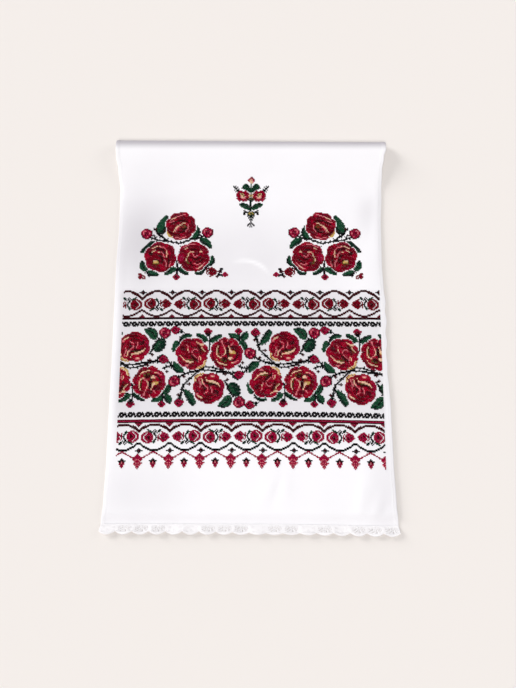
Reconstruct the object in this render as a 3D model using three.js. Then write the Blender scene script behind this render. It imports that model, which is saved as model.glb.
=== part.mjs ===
// A rushnyk, the embroidered ritual towel of a Ukrainian home, folded once across its length and laid flat with one
// worked end up. Two pieces: the towel cloth, one sheet bent back under itself at a soft unpressed fold, and the
// scalloped lace sewn along the front end.
// Millimetres, +Z up, +X to the right, +Y towards the fold. The origin is on the surface the towel lies on, at the
// centre of its footprint.

import * as THREE from 'three';

// Driving dimensions
const foldedLength = 576; // from the lowest scallop to the end of the fold
const clothThickness = 1.2;
const layerGap = 1.6; // the air between the two layers where the towel lies flat
const foldHeight = 12.6; // outside height of the soft roll at the fold
const foldNose = 11; // how far the roll reaches past its crest, measured to the middle of the cloth
const foldSlip = 1.6; // the fold's right end lies this much nearer than its left end
const riseLength = 74; // the front layer climbs to the crest of the roll over this length
const backShortfall = 30; // the back layer ends this far short of the lowest scallop, so it never shows
const backInset = 7; // the back layer's long edges lie this far inside the front layer's
const hemDropLength = 13; // past the back layer's end the front layer comes down to the surface over this length
const laceDepth = 12; // from the cloth's edge to the tip of a full scallop
const laceThickness = 1;
const laceSeam = 0.3; // clearance between the lace and the cloth's edge
const laceSlip = 2.2; // the right-hand end of the front hem hangs this much lower than the left
const scallops = 18;
const scallopRise = 4.2; // from the tip of a scallop to the notch beside it
const handledScallops = { at: 0.6, spread: 0.16, flattening: 0.5 }; // worn flatter, at a share of the width

// The long edges: their distance from the centre line, and how far the outer rim of the front layer droops
const longEdges = [
  { y: -290, left: 200.2, right: 200.9, leftDroop: 0.0, rightDroop: 0.0 },
  { y: -272, left: 196.2, right: 198.4, leftDroop: 0.3, rightDroop: 0.3 },
  { y: -245, left: 194.2, right: 196.6, leftDroop: 1.0, rightDroop: 0.5 },
  { y: -190, left: 193.0, right: 195.0, leftDroop: 1.3, rightDroop: 0.8 },
  { y: -120, left: 192.9, right: 194.2, leftDroop: 1.3, rightDroop: 1.0 },
  { y: -50, left: 192.5, right: 191.4, leftDroop: 1.4, rightDroop: 1.1 },
  { y: 20, left: 192.9, right: 192.4, leftDroop: 1.4, rightDroop: 1.1 },
  { y: 95, left: 193.2, right: 189.6, leftDroop: 1.4, rightDroop: 1.5 },
  { y: 150, left: 191.8, right: 190.4, leftDroop: 1.5, rightDroop: 1.9 },
  { y: 205, left: 192.4, right: 193.0, leftDroop: 1.6, rightDroop: 2.1 },
  { y: 240, left: 196.2, right: 194.4, leftDroop: 1.4, rightDroop: 1.8 },
  { y: 260, left: 200.2, right: 197.6, leftDroop: 0.8, rightDroop: 1.0 },
  { y: 274, left: 201.3, right: 201.3, leftDroop: 0.2, rightDroop: 0.2 },
  { y: 290, left: 200.6, right: 200.8, leftDroop: 0.0, rightDroop: 0.0 },
];
const droopWidth = 8;
const rightRipple = { from: -95, to: 75, pitch: 31, reach: 1.1 };

// The front layer's soft folds: centre, direction in degrees from +X, half length, half width and height
const softFolds = [
  { name: 'left hollow', x: -164, y: 150, turn: 82, length: 80, width: 24, height: -0.7 },
  { name: 'left swell', x: -110, y: 205, turn: 12, length: 70, width: 20, height: 0.9 },
  { name: 'ridge between the bouquets', x: 4, y: 89, turn: -31, length: 32, width: 8, height: 1.1 },
  { name: 'hollow under the ridge', x: -10, y: 66, turn: -20, length: 44, width: 14, height: -0.4 },
  { name: 'right hollow', x: 148, y: 178, turn: 60, length: 54, width: 22, height: -0.6 },
  { name: 'right swell', x: 172, y: 84, turn: 84, length: 66, width: 16, height: 1.0 },
  { name: 'left border swell', x: -120, y: -38, turn: 12, length: 90, width: 34, height: 0.7 },
  { name: 'right border swell', x: 96, y: -74, turn: -8, length: 90, width: 34, height: 0.8 },
  { name: 'lower left hollow', x: -156, y: -236, turn: 76, length: 30, width: 20, height: -0.5 },
  { name: 'lower middle crease', x: 26, y: -228, turn: 62, length: 24, width: 9, height: 0.8 },
  { name: 'second middle crease', x: 50, y: -224, turn: 84, length: 20, width: 9, height: 0.6 },
  { name: 'lower right crease', x: 152, y: -240, turn: 74, length: 32, width: 10, height: 0.9 },
];

// The steps of the cloth's grid
const gridColumns = 32;
const frontRows = 46;
const noseRows = 14;
const backRows = 5;
const totalRows = frontRows + noseRows + backRows;
const stepsPerScallop = 8;

const halfSheet = clothThickness / 2;
const foldEnd = foldedLength / 2;
const scallopTip = -foldedLength / 2;
const frontMiddle = clothThickness + layerGap + halfSheet; // height of the front layer's middle where it lies flat
const crestMiddle = foldHeight - halfSheet;
const noseHeight = (crestMiddle - halfSheet) / 2;
const noseMiddle = halfSheet + noseHeight;
const backEnd = scallopTip + backShortfall;

const { lerp, degToRad } = THREE.MathUtils;
const smooth = (share) => THREE.MathUtils.smoothstep(share, 0, 1);

// A column of the long-edge table at y, eased from row to row
function edgeValue(column, y) {
  const next = longEdges.findIndex((row) => row.y >= y);
  if (next === 0) return longEdges[0][column];
  const [low, high] = [longEdges[next - 1], longEdges[next]];
  return lerp(low[column], high[column], smooth((y - low.y) / (high.y - low.y)));
}

// The right edge is gently rippled beside the embroidered border, where the stitching draws the cloth in
function ripple(y) {
  const { from, to, pitch, reach } = rightRipple;
  const share = THREE.MathUtils.clamp((y - from) / (to - from), 0, 1);
  return reach * Math.sin(Math.PI * share) * Math.sin((2 * Math.PI * y) / pitch);
}

const leftEdge = (y) => -edgeValue('left', y);
const rightEdge = (y) => edgeValue('right', y) + ripple(y);

// Where the roll of the fold begins to turn over
const crestY = (across) => foldEnd - halfSheet - foldNose - foldSlip * smooth(across);

// Where the cloth ends and the lace begins
const hemY = (across) => scallopTip + laceDepth + laceSlip * (1 - smooth((across - 0.6) / 0.4));

function softFoldHeight(x, y) {
  return softFolds.reduce((sum, fold) => {
    const turn = degToRad(fold.turn);
    const along = ((x - fold.x) * Math.cos(turn) + (y - fold.y) * Math.sin(turn)) / fold.length;
    const beside = ((y - fold.y) * Math.cos(turn) - (x - fold.x) * Math.sin(turn)) / fold.width;
    return sum + fold.height * Math.exp(-along * along - beside * beside);
  }, 0);
}

// Height of the front layer's middle at a point of its plan, across being the share of the width from the left edge
function frontHeight(across, y) {
  const x = lerp(leftEdge(y), rightEdge(y), across);
  const raised = smooth((y - backEnd + hemDropLength) / hemDropLength);
  const level = lerp(halfSheet, frontMiddle, raised);
  const climb = smooth((y - crestY(across) + riseLength) / riseLength);
  const fromEdge = Math.min(x - leftEdge(y), rightEdge(y) - x);
  const droop = edgeValue(x < 0 ? 'leftDroop' : 'rightDroop', y) * smooth(1 - fromEdge / droopWidth);
  const loose = raised * (1 - climb);
  return level + climb * (crestMiddle - frontMiddle) + loose * (softFoldHeight(x, y) - droop);
}

// Rows lie closer together at the hem and on the climb than over the flat middle
function frontRowY(row, across) {
  const share = row / frontRows;
  const bunched = share - 0.09 * Math.sin(2 * Math.PI * share) + 0.03 * Math.sin(4 * Math.PI * share);
  return lerp(hemY(across), crestY(across), bunched);
}

// A point of the sheet: its row from the front hem over the fold to the back layer's end, and side 1 for the face
// that shows or -1 for the face inside the fold
function clothPoint(across, row, side) {
  const offset = side * halfSheet;
  const spread = (y, inset = 0) => lerp(leftEdge(y) + inset, rightEdge(y) - inset, across);
  if (row <= frontRows) {
    const y = frontRowY(row, across);
    const slope = frontHeight(across, y + 0.5) - frontHeight(across, y - 0.5);
    const normal = new THREE.Vector2(-slope, 1).normalize();
    return new THREE.Vector3(spread(y), y + offset * normal.x, frontHeight(across, y) + offset * normal.y);
  }
  if (row <= frontRows + noseRows) {
    const turn = ((row - frontRows) / noseRows) * Math.PI;
    const y = crestY(across) + foldNose * Math.sin(turn);
    const z = noseMiddle + noseHeight * Math.cos(turn);
    const normal = new THREE.Vector2(noseHeight * Math.sin(turn), foldNose * Math.cos(turn)).normalize();
    return new THREE.Vector3(spread(y), y + offset * normal.x, z + offset * normal.y);
  }
  const share = (row - frontRows - noseRows) / backRows;
  const y = lerp(crestY(across), backEnd, share);
  return new THREE.Vector3(spread(y, backInset * smooth(share * 4)), y, halfSheet - offset);
}

// A closed flat sheet of a grid's columns and rows, each of its points moved to place(across, along, side)
function bentSheet(columns, rows, place) {
  const sheet = new THREE.BoxGeometry(1, 1, 1, columns, rows, 1);
  const points = sheet.getAttribute('position');
  for (let i = 0; i < points.count; i += 1) {
    const bent = place(points.getX(i) + 0.5, points.getY(i) + 0.5, Math.sign(points.getZ(i)));
    points.setXYZ(i, bent.x, bent.y, bent.z);
  }
  sheet.computeVertexNormals();
  return sheet;
}

function towelCloth() {
  // Columns lie closer together at the long edges and along the middle
  const gather = (across) => across - (0.4 * Math.sin(4 * Math.PI * across)) / (4 * Math.PI);
  const geometry = bentSheet(gridColumns, totalRows, (across, along, side) =>
    clothPoint(gather(across), Math.round(along * totalRows), side));
  const linen = new THREE.MeshStandardMaterial({ color: 0xf6f5f7, roughness: 0.9, metalness: 0 });
  const cloth = new THREE.Mesh(geometry, linen);
  cloth.name = 'towel_cloth';
  return cloth;
}

// How far the lace reaches below the cloth at a share of the towel's width
function laceReach(across) {
  const { at, spread, flattening } = handledScallops;
  const fullness = 1 - flattening * Math.exp(-(((across - at) / spread) ** 2));
  const arch = Math.abs(Math.sin(Math.PI * across * scallops));
  return laceDepth - scallopRise * fullness * (1 - arch);
}

function laceEdging() {
  const geometry = bentSheet(scallops * stepsPerScallop, 1, (across, along, side) => {
    const y = lerp(hemY(across) - laceReach(across), hemY(across) - laceSeam, along);
    const x = lerp(leftEdge(y), rightEdge(y), across);
    return new THREE.Vector3(x, y, ((1 + side) / 2) * laceThickness);
  });
  const cotton = new THREE.MeshStandardMaterial({ color: 0xf4f2ef, roughness: 0.85, metalness: 0 });
  const lace = new THREE.Mesh(geometry, cotton);
  lace.name = 'lace_edging';
  return lace;
}

const towel = new THREE.Group();
towel.add(towelCloth(), laceEdging());

export default towel;
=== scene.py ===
"""A rushnyk: a white ritual towel folded once across its length and laid flat, its worked end up.

The cloth is one thin sheet over the folds of the frame's solid. The embroidery is counted on a chart of
1.5 mm squares and worked over it, a pair of crossed threads for each square. A scalloped lace edges the
front hem.
"""

import logging
import math
from dataclasses import dataclass, field
from enum import Enum
from typing import Any, Iterable, Mapping, Sequence

import bpy
import numpy as np
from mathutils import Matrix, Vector


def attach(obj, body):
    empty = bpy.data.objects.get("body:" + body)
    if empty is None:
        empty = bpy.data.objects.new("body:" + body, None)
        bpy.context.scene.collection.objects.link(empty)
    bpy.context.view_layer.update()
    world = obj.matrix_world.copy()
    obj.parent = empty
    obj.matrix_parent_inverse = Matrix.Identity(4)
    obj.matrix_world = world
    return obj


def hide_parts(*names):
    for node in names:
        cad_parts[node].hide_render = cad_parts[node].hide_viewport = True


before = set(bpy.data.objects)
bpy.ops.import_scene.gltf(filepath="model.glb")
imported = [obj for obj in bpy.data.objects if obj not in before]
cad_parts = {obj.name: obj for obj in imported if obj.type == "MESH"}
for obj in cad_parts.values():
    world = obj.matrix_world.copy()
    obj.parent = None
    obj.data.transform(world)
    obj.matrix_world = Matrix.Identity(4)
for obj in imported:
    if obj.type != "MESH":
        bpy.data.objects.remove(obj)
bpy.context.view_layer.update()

log = logging.getLogger("rushnyk")

MM = 0.001
BODY = "root"
Point = tuple[float, float]
Socket = bpy.types.NodeSocket
WAVE_BAND = math.tau / 20.0  # a wave texture has one band in this length of its own units


def linear(colour: str) -> tuple[float, float, float, float]:
    """Turns an sRGB hex colour into linear values for a shader.

    Args:
        colour: six hex digits after a hash sign.

    Returns:
        Red, green, blue and an alpha of one.
    """
    shares = [int(colour[i:i + 2], 16) / 255 for i in (1, 3, 5)]
    red, green, blue = (s / 12.92 if s <= 0.04045 else ((s + 0.055) / 1.055) ** 2.4 for s in shares)
    return red, green, blue, 1.0


def ease(share: np.ndarray | float) -> np.ndarray:
    """Eases shares from 0 to 1, flat at both ends."""
    held = np.clip(share, 0.0, 1.0)
    return held * held * (3.0 - 2.0 * held)


def mix(low: float, high: float, share: float) -> float:
    """The value that lies a share of the way from low to high."""
    return low + (high - low) * share


def feed(tree: bpy.types.NodeTree, node: bpy.types.Node, inputs: Mapping[str | int, Any]) -> None:
    """Gives a node's inputs their values or links.

    Args:
        tree: the node tree.
        node: the node.
        inputs: a value or another node's output for each input, by the input's name or place.
    """
    for key, value in inputs.items():
        if isinstance(value, Socket):
            tree.links.new(value, node.inputs[key])
        else:
            node.inputs[key].default_value = value


def add_node(tree: bpy.types.NodeTree, kind: str, inputs: Mapping[str | int, Any] | None = None,
             **settings: Any) -> bpy.types.Node:
    """Adds a node with its settings and links.

    Args:
        tree: the node tree it goes in.
        kind: the node's type.
        inputs: what its inputs are fed.
        **settings: the node's own properties.

    Returns:
        The new node.
    """
    made = tree.nodes.new(kind)
    for name, value in settings.items():
        setattr(made, name, value)
    feed(tree, made, inputs or {})
    return made


def new_material(name: str) -> tuple[bpy.types.Material, bpy.types.NodeTree, bpy.types.Node]:
    """A material with an empty tree but for its surface shader.

    Args:
        name: the material's name.

    Returns:
        The material, its node tree and the shader.
    """
    material = bpy.data.materials.new(name)
    material.use_nodes = True
    tree = material.node_tree
    return material, tree, tree.nodes["Principled BSDF"]


def place(piece: bpy.types.Object, material: bpy.types.Material | None = None) -> bpy.types.Object:
    """Puts a new piece in the scene, in its material.

    Args:
        piece: the piece's object.
        material: its finish, where its mesh has none yet.

    Returns:
        The same piece.
    """
    bpy.context.scene.collection.objects.link(piece)
    if material is not None:
        piece.data.materials.append(material)
    return piece


def mesh_object(name: str, points: np.ndarray, faces: Sequence[Sequence[int]],
                edges: Sequence[tuple[int, int]] = ()) -> bpy.types.Object:
    """An object of a new mesh, smooth all over.

    Args:
        name: the object's name.
        points: one row of x, y and z in metres for each point.
        faces: the points of each face.
        edges: loose edges, for a mesh that has no faces yet.

    Returns:
        The object, not yet in the scene.
    """
    mesh = bpy.data.meshes.new(name)
    mesh.from_pydata(points.tolist(), list(edges), list(faces))
    mesh.validate()
    mesh.shade_smooth()
    return bpy.data.objects.new(name, mesh)


def mark(piece: bpy.types.Object, name: str, values: np.ndarray) -> None:
    """Gives each point of a piece an attribute.

    Args:
        piece: the piece.
        name: the attribute's name.
        values: a number for each point, or a row of three for a vector.
    """
    kind, part = ("FLOAT_VECTOR", "vector") if values.ndim == 2 else ("FLOAT", "value")
    attribute = piece.data.attributes.new(name, kind, "POINT")
    attribute.data.foreach_set(part, values.astype(np.float32).ravel())


def grow(piece: bpy.types.Object, tree: bpy.types.NodeTree, values: Mapping[str, Any]) -> bpy.types.Object:
    """Runs a Geometry Nodes tree on a piece and keeps the result as its plain mesh.

    Args:
        piece: the object whose mesh the tree starts from.
        tree: the Geometry Nodes tree.
        values: a value for each of the tree's named inputs.

    Returns:
        The same piece, with the finished mesh and no modifier.
    """
    modifier = piece.modifiers.new(tree.name, "NODES")
    modifier.node_group = tree
    for item in tree.interface.items_tree:
        if item.item_type == "SOCKET" and item.in_out == "INPUT" and item.name in values:
            modifier[item.identifier] = values[item.name]
    seen = piece.evaluated_get(bpy.context.evaluated_depsgraph_get())
    finished = bpy.data.meshes.new_from_object(seen)
    finished.name = piece.name
    old = piece.data
    piece.modifiers.remove(modifier)
    piece.data = finished
    bpy.data.meshes.remove(old)
    return piece


def open_tree(name: str, inputs: Mapping[str, tuple[str, Any]]) -> tuple[bpy.types.NodeTree, bpy.types.Node]:
    """Starts a Geometry Nodes tree with its named inputs.

    Args:
        name: the tree's name.
        inputs: the socket type and the first value of each input, after the geometry itself.

    Returns:
        The tree and its input node.
    """
    tree = bpy.data.node_groups.new(name, "GeometryNodeTree")
    tree.interface.new_socket("Geometry", in_out="INPUT", socket_type="NodeSocketGeometry")
    for label, (socket_type, value) in inputs.items():
        socket = tree.interface.new_socket(label, in_out="INPUT", socket_type=socket_type)
        if value is not None:
            socket.default_value = value
    tree.interface.new_socket("Geometry", in_out="OUTPUT", socket_type="NodeSocketGeometry")
    return tree, tree.nodes.new("NodeGroupInput")


def close_tree(tree: bpy.types.NodeTree, source: bpy.types.Node, geometry: Socket) -> None:
    """Ends a tree: the instances are made real and take the material that the tree was given."""
    real = add_node(tree, "GeometryNodeRealizeInstances", {"Geometry": geometry})
    dressed = add_node(tree, "GeometryNodeSetMaterial",
                       {"Geometry": real.outputs["Geometry"], "Material": source.outputs["Material"]})
    rounded = add_node(tree, "GeometryNodeSetShadeSmooth", {"Geometry": dressed.outputs["Geometry"]})
    add_node(tree, "NodeGroupOutput", {"Geometry": rounded.outputs["Geometry"]})


class Thread(Enum):
    """The stranded cottons of the embroidery: each one's name, its slot in the record and its colour."""

    RED = ("red", "thread_red", "#760019")
    SCARLET = ("bright_red", "thread_bright_red", "#9E0027")
    MAROON = ("maroon", "thread_maroon", "#3A050C")
    PLUM = ("plum", "thread_maroon", "#5E081C")
    CRIMSON = ("crimson", "thread_crimson", "#9A0838")
    PINK = ("rose_pink", "thread_rose_pink", "#DC7680")
    CREAM = ("cream", "thread_cream", "#E9C6A6")
    YELLOW = ("yellow", "thread_ochre", "#CEAB5E")
    OLIVE = ("olive", "thread_ochre", "#5A4A1C")
    GREEN = ("green", "thread_green", "#1A4A31")
    DARK_GREEN = ("dark_green", "thread_dark_green", "#0A2A1E")
    BLACK = ("black", "thread_black", "#0A070B")

    def __init__(self, label: str, slot: str, colour: str) -> None:
        """Keeps the three parts under their own names."""
        self.label, self.slot, self.colour = label, slot, colour


@dataclass(frozen=True)
class BleachedCotton:
    """Bleached cotton towel cloth in plain weave: matt and white, with a fine grain and a little nap."""

    name: str = "cotton_plain_weave_bleached"
    colour: str = "#F8F7F9"
    # the grey that painted shade, and the random washing drift, mix the white towards
    shade: str = "#B4AFB5"
    yarn_pitch: float = 0.5  # mm between yarns, three to a cross stitch
    yarn_relief: float = 0.05  # mm
    slub_length: float = 9.0  # mm, the slow thick and thin of the yarns
    tone_patch: float = 95.0  # mm, the slow drift of tone from washing
    tone_drift: float = 0.095  # how far that drift goes towards the shade
    roughness: float = 0.9
    gloss: float = 0.25
    nap: float = 0.12

    def material(self) -> bpy.types.Material:
        """Builds the finish.

        Returns:
            The material, which reads the cloth's own UV map in metres and its Object coordinates.
        """
        material, tree, shader = new_material(self.name)
        # Painted shade: an attribute greys the white towards the shade colour in hollows, along the edges
        # and hem, between the stitches and over the fold's turn, and less on a painted highlight along
        # the middle ridge's crest. The washed white also drifts a little at random besides
        place_on = add_node(tree, "ShaderNodeTexCoord")
        drift = add_node(tree, "ShaderNodeTexNoise", {
            "Vector": place_on.outputs["Object"], "Scale": 1.0 / (self.tone_patch * MM), "Detail": 2.0})
        close = add_node(tree, "ShaderNodeAttribute", attribute_name="close")
        grey = add_node(tree, "ShaderNodeMath", {
            0: drift.outputs["Fac"], 1: self.tone_drift, 2: close.outputs["Fac"]},
            operation="MULTIPLY_ADD", use_clamp=True)
        tone = add_node(tree, "ShaderNodeMix", {
            0: grey.outputs["Value"], 6: linear(self.colour), 7: linear(self.shade)}, data_type="RGBA")
        # Warp and weft ride over each other: one wave for each, in the cloth's own directions
        woven = add_node(tree, "ShaderNodeUVMap", uv_map="cloth")
        warp, weft = (add_node(tree, "ShaderNodeTexWave", {
            "Vector": woven.outputs["UV"], "Scale": WAVE_BAND / (self.yarn_pitch * MM)}, bands_direction=way)
            for way in ("X", "Y"))
        grid = add_node(tree, "ShaderNodeMath", {0: warp.outputs["Fac"], 1: weft.outputs["Fac"]},
                        operation="MULTIPLY")
        slub = add_node(tree, "ShaderNodeTexNoise", {
            "Vector": woven.outputs["UV"], "Scale": 1.0 / (self.slub_length * MM), "Detail": 3.0})
        height = add_node(tree, "ShaderNodeMath", {0: grid.outputs["Value"], 1: slub.outputs["Fac"]},
                          operation="ADD")
        relief = add_node(tree, "ShaderNodeBump", {
            "Strength": 0.6, "Distance": self.yarn_relief * MM, "Height": height.outputs["Value"]})
        feed(tree, shader, {
            "Base Color": tone.outputs[2], "Normal": relief.outputs["Normal"],
            "Roughness": self.roughness, "Specular IOR Level": self.gloss,
            "Sheen Weight": self.nap, "Sheen Roughness": 0.6})
        return material


@dataclass(frozen=True)
class StrandedCotton:
    """Dyed stranded cotton, mercerised: a soft lustre along the strands, and no two crosses of one tone."""

    thread: Thread
    strand: float = 0.16  # mm, one strand of the thread
    lustre: float = 0.06
    roughness: float = 0.7
    darkest: float = 0.86
    lightest: float = 1.12

    def material(self) -> bpy.types.Material:
        """Builds the finish.

        Returns:
            The material, which reads each cross's own tone from an attribute.
        """
        material, tree, shader = new_material(f"stranded_cotton_mercerised_{self.thread.label}")
        # No two crosses lie alike, so each is a little lighter or darker than the next
        tone = add_node(tree, "ShaderNodeAttribute", attribute_name="tone")
        span = add_node(tree, "ShaderNodeMapRange", {
            "Value": tone.outputs["Fac"], "To Min": self.darkest, "To Max": self.lightest})
        dyed = add_node(tree, "ShaderNodeHueSaturation", {
            "Value": span.outputs["Result"], "Color": linear(self.thread.colour)})
        # The strands lie side by side in the thread and catch the light as fine lines
        place_on = add_node(tree, "ShaderNodeTexCoord")
        strands = add_node(tree, "ShaderNodeTexNoise", {
            "Vector": place_on.outputs["Object"], "Scale": 1.0 / (self.strand * MM), "Detail": 1.0})
        relief = add_node(tree, "ShaderNodeBump", {
            "Strength": 0.35, "Distance": 0.5 * self.strand * MM, "Height": strands.outputs["Fac"]})
        feed(tree, shader, {
            "Base Color": dyed.outputs["Color"], "Normal": relief.outputs["Normal"],
            "Roughness": self.roughness, "Specular IOR Level": self.lustre})
        return material


@dataclass(frozen=True)
class LaceCotton:
    """White lace cotton, twisted hard and whipped: a closer white than the cloth, finely ribbed across."""

    name: str = "cotton_lace_thread_whipped"
    colour: str = "#F6F4F5"
    whip_pitch: float = 0.7  # mm between the turns of thread that cover the rims
    whip_relief: float = 0.12  # mm
    roughness: float = 0.75
    gloss: float = 0.3
    nap: float = 0.1

    def material(self) -> bpy.types.Material:
        """Builds the finish.

        Returns:
            The material, which reads Object coordinates.
        """
        material, tree, shader = new_material(self.name)
        place_on = add_node(tree, "ShaderNodeTexCoord")
        # The whipping's turns cross the rim and give it a fine ribbed edge
        turns = add_node(tree, "ShaderNodeTexWave", {
            "Vector": place_on.outputs["Object"], "Scale": WAVE_BAND / (self.whip_pitch * MM),
            "Distortion": 0.6, "Detail": 1.0}, bands_direction="X")
        relief = add_node(tree, "ShaderNodeBump", {
            "Strength": 0.5, "Distance": self.whip_relief * MM, "Height": turns.outputs["Fac"]})
        feed(tree, shader, {
            "Base Color": linear(self.colour), "Normal": relief.outputs["Normal"],
            "Roughness": self.roughness, "Specular IOR Level": self.gloss, "Sheen Weight": self.nap})
        return material


@dataclass
class Chart:
    """The counted pattern: which thread crosses each square of the cloth."""

    start: int  # the first column that is worked
    columns: int  # the worked columns all lie before this one
    crosses: dict[tuple[int, int], Thread] = field(default_factory=dict)

    def cross(self, col: int, row: int, thread: Thread | None) -> None:
        """Works one square in a thread, or leaves it bare where the thread is None."""
        if not self.start <= col < self.columns:
            return
        if thread is None:
            self.crosses.pop((col, row), None)
        else:
            self.crosses[(col, row)] = thread


@dataclass(frozen=True)
class Needle:
    """Works a motif in its own squares, counted from its centre: across to the right, and down."""

    chart: Chart
    col: int
    row: int
    mirrored: bool = False
    flipped: bool = False

    def dab(self, across: float, down: float, thread: Thread | None) -> None:
        """Works one cross."""
        step, drop = round(across), round(down)
        col = self.col - step if self.mirrored else self.col + step
        row = self.row - drop if self.flipped else self.row + drop
        self.chart.cross(col, row, thread)

    def moved(self, across: int, down: int, mirrored: bool = False, flipped: bool = False) -> "Needle":
        """A needle at another place within this one's motif.

        Args:
            across: squares to the right, or to the left where this needle is mirrored.
            down: squares down, or up where this needle is flipped.
            mirrored: the new motif is turned left to right within this one.
            flipped: the new motif is turned upside down within this one.

        Returns:
            The new needle.
        """
        col = self.col - across if self.mirrored else self.col + across
        row = self.row - down if self.flipped else self.row + down
        return Needle(self.chart, col, row, self.mirrored != mirrored, self.flipped != flipped)

    def disc(self, centre: Point, radii: Point, thread: Thread | None) -> None:
        """Fills an ellipse."""
        reach = math.ceil(max(radii)) + 1
        for x in range(round(centre[0]) - reach, round(centre[0]) + reach + 1):
            for y in range(round(centre[1]) - reach, round(centre[1]) + reach + 1):
                if ((x - centre[0]) / radii[0]) ** 2 + ((y - centre[1]) / radii[1]) ** 2 <= 1.0:
                    self.dab(x, y, thread)

    def line(self, points: Sequence[Point], thread: Thread, width: float = 1.0) -> None:
        """Works a stem or row of crosses through the points."""
        for (x0, y0), (x1, y1) in zip(points, points[1:]):
            steps = max(1, math.ceil(2 * max(abs(x1 - x0), abs(y1 - y0))))
            for i in range(steps + 1):
                self._dot(mix(x0, x1, i / steps), mix(y0, y1, i / steps), thread, width)

    def sweep(self, points: Sequence[Point], thread: Thread, width: float) -> None:
        """Works a row through the points that thins to two fifths of its width at its ends.

        Args:
            points: where it runs.
            thread: what it's worked in.
            width: how broad it is half way.
        """
        lengths = [math.dist(a, b) for a, b in zip(points, points[1:])]
        done = 0.0
        for (x0, y0), (x1, y1), length in zip(points, points[1:], lengths):
            steps = max(1, round(max(abs(x1 - x0), abs(y1 - y0))))
            for i in range(steps + 1):
                share = (done + length * i / steps) / sum(lengths)
                taper = 0.4 + 0.6 * math.sin(math.pi * share)
                self._dot(mix(x0, x1, i / steps), mix(y0, y1, i / steps), thread, max(1.0, width * taper))
            done += length

    def _dot(self, x: float, y: float, thread: Thread, width: float) -> None:
        """Works one cross, or a small round of them where the line is broad."""
        if width <= 1.2:
            self.dab(x, y, thread)
        else:
            self.disc((x, y), (width / 2, width / 2), thread)

    def picture(self, rows: Sequence[str], bloom: Thread = Thread.RED) -> None:
        """Works a small charted motif, centred on the needle.

        Args:
            rows: one letter a square, and a dot for bare cloth.
            bloom: the thread for the letter r.
        """
        for down, row in enumerate(rows):
            for across, letter in enumerate(row):
                if letter != ".":
                    thread = bloom if letter == "r" else LETTERS[letter]
                    self.dab(across - (len(row) - 1) // 2, down - (len(rows) - 1) // 2, thread)


LETTERS = {
    "r": Thread.RED, "s": Thread.SCARLET, "m": Thread.MAROON, "p": Thread.PLUM, "c": Thread.CRIMSON,
    "k": Thread.BLACK, "g": Thread.GREEN, "d": Thread.DARK_GREEN, "i": Thread.PINK, "w": Thread.CREAM,
    "y": Thread.YELLOW, "o": Thread.OLIVE,
}


@dataclass(frozen=True)
class Fold:
    """A petal's rim, fold of shade or gleam of a rose: a row that thins towards its ends.

    Its path is in squares from the rose's centre, to the right and down, for a rose of 14.6 squares' radius.
    """

    thread: str  # its letter
    width: float
    path: tuple[Point, ...]


@dataclass(frozen=True)
class Patch:
    """A filled round of a rose, in the same squares as its folds."""

    thread: str  # its letter
    centre: Point
    radii: Point


# The cabbage roses: three make up a group of the band, and three a bouquet. What lies on top comes last
HEAD_ROSE = (
    Patch("r", (-9, 9.2), (4.8, 4.6)),
    Fold("p", 1.4, ((-12, 4), (-11.4, -0.5), (-9, -4.5))),
    Fold("c", 1.6, ((11.2, 8.4), (12.6, 2.6), (12, -3.4), (8.5, -9.5))),
    Fold("m", 1.3, ((-7.5, -7.1), (-3.8, -10.2), (1.5, -10.9), (6, -8.6), (10, -6.5))),
    Fold("p", 1.4, ((-8, -11), (-2, -13.2), (4, -12.8))),
    Fold("m", 1.4, ((-7, -2.5), (-4.2, -6), (-0.8, -8), (3, -7.1))),
    Fold("m", 2.3, ((-4.5, 8.2), (-2.6, 4.6), (1.5, 3.6), (5.3, 3.6), (8.5, 1.5))),
    Fold("m", 1.6, ((-5.5, 3), (-3.2, -0.5), (-4.4, -3.6))),
    Fold("p", 1.6, ((0.6, 2), (1, -2), (0.2, -5.4))),
    Patch("p", (7.2, -3.8), (2.5, 2.2)),
    Fold("m", 2, ((5.4, -1.6), (8.2, -3.2), (8.4, -6))),
    Fold("y", 1.6, ((-13.4, 7.2), (-12.9, 10.4), (-9.8, 13.2), (-5.5, 14.2))),
    Fold("w", 1, ((-12, 7.4), (-11.4, 9.8), (-8.8, 12), (-5.6, 12.8))),
    Patch("s", (-8.4, 9.6), (2.4, 2.2)),
    Fold("i", 1, ((-9.2, 9.6), (-8.6, 6.4), (-7.4, 3.6), (-7.8, 0.6))),
    Fold("w", 1, ((-6.6, 9.4), (-6.2, 6.2), (-5, 4.1))),
    Fold("i", 1.3, ((-5.3, 5), (-3.8, 2.6), (-1.1, 0.6), (-0.4, -1.5), (-1.9, -3.8), (-3.8, -4.9))),
    Fold("i", 1, ((2.2, 1.1), (3.2, -1.5), (2.6, -4.1))),
    Fold("w", 1.3, ((-2.9, 9.8), (-1.9, 7.4), (1.5, 6.5))),
    Fold("w", 2.1, ((-1.2, 6.9), (1.8, 6.3), (5.3, 6), (7.9, 4.5), (10.2, 1.9))),
    Fold("o", 1.2, ((0, 5.2), (3.2, 5))),
    Patch("i", (3.4, 11.4), (2.4, 1.2)),
    Patch("w", (3.2, 11.4), (1.1, 0.6)),
    Fold("w", 1.8, ((-10.4, -6.6), (-8.3, -8.1), (-6, -9))),
    Patch("i", (-10.4, -5.6), (1.1, 0.9)),
)
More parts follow.
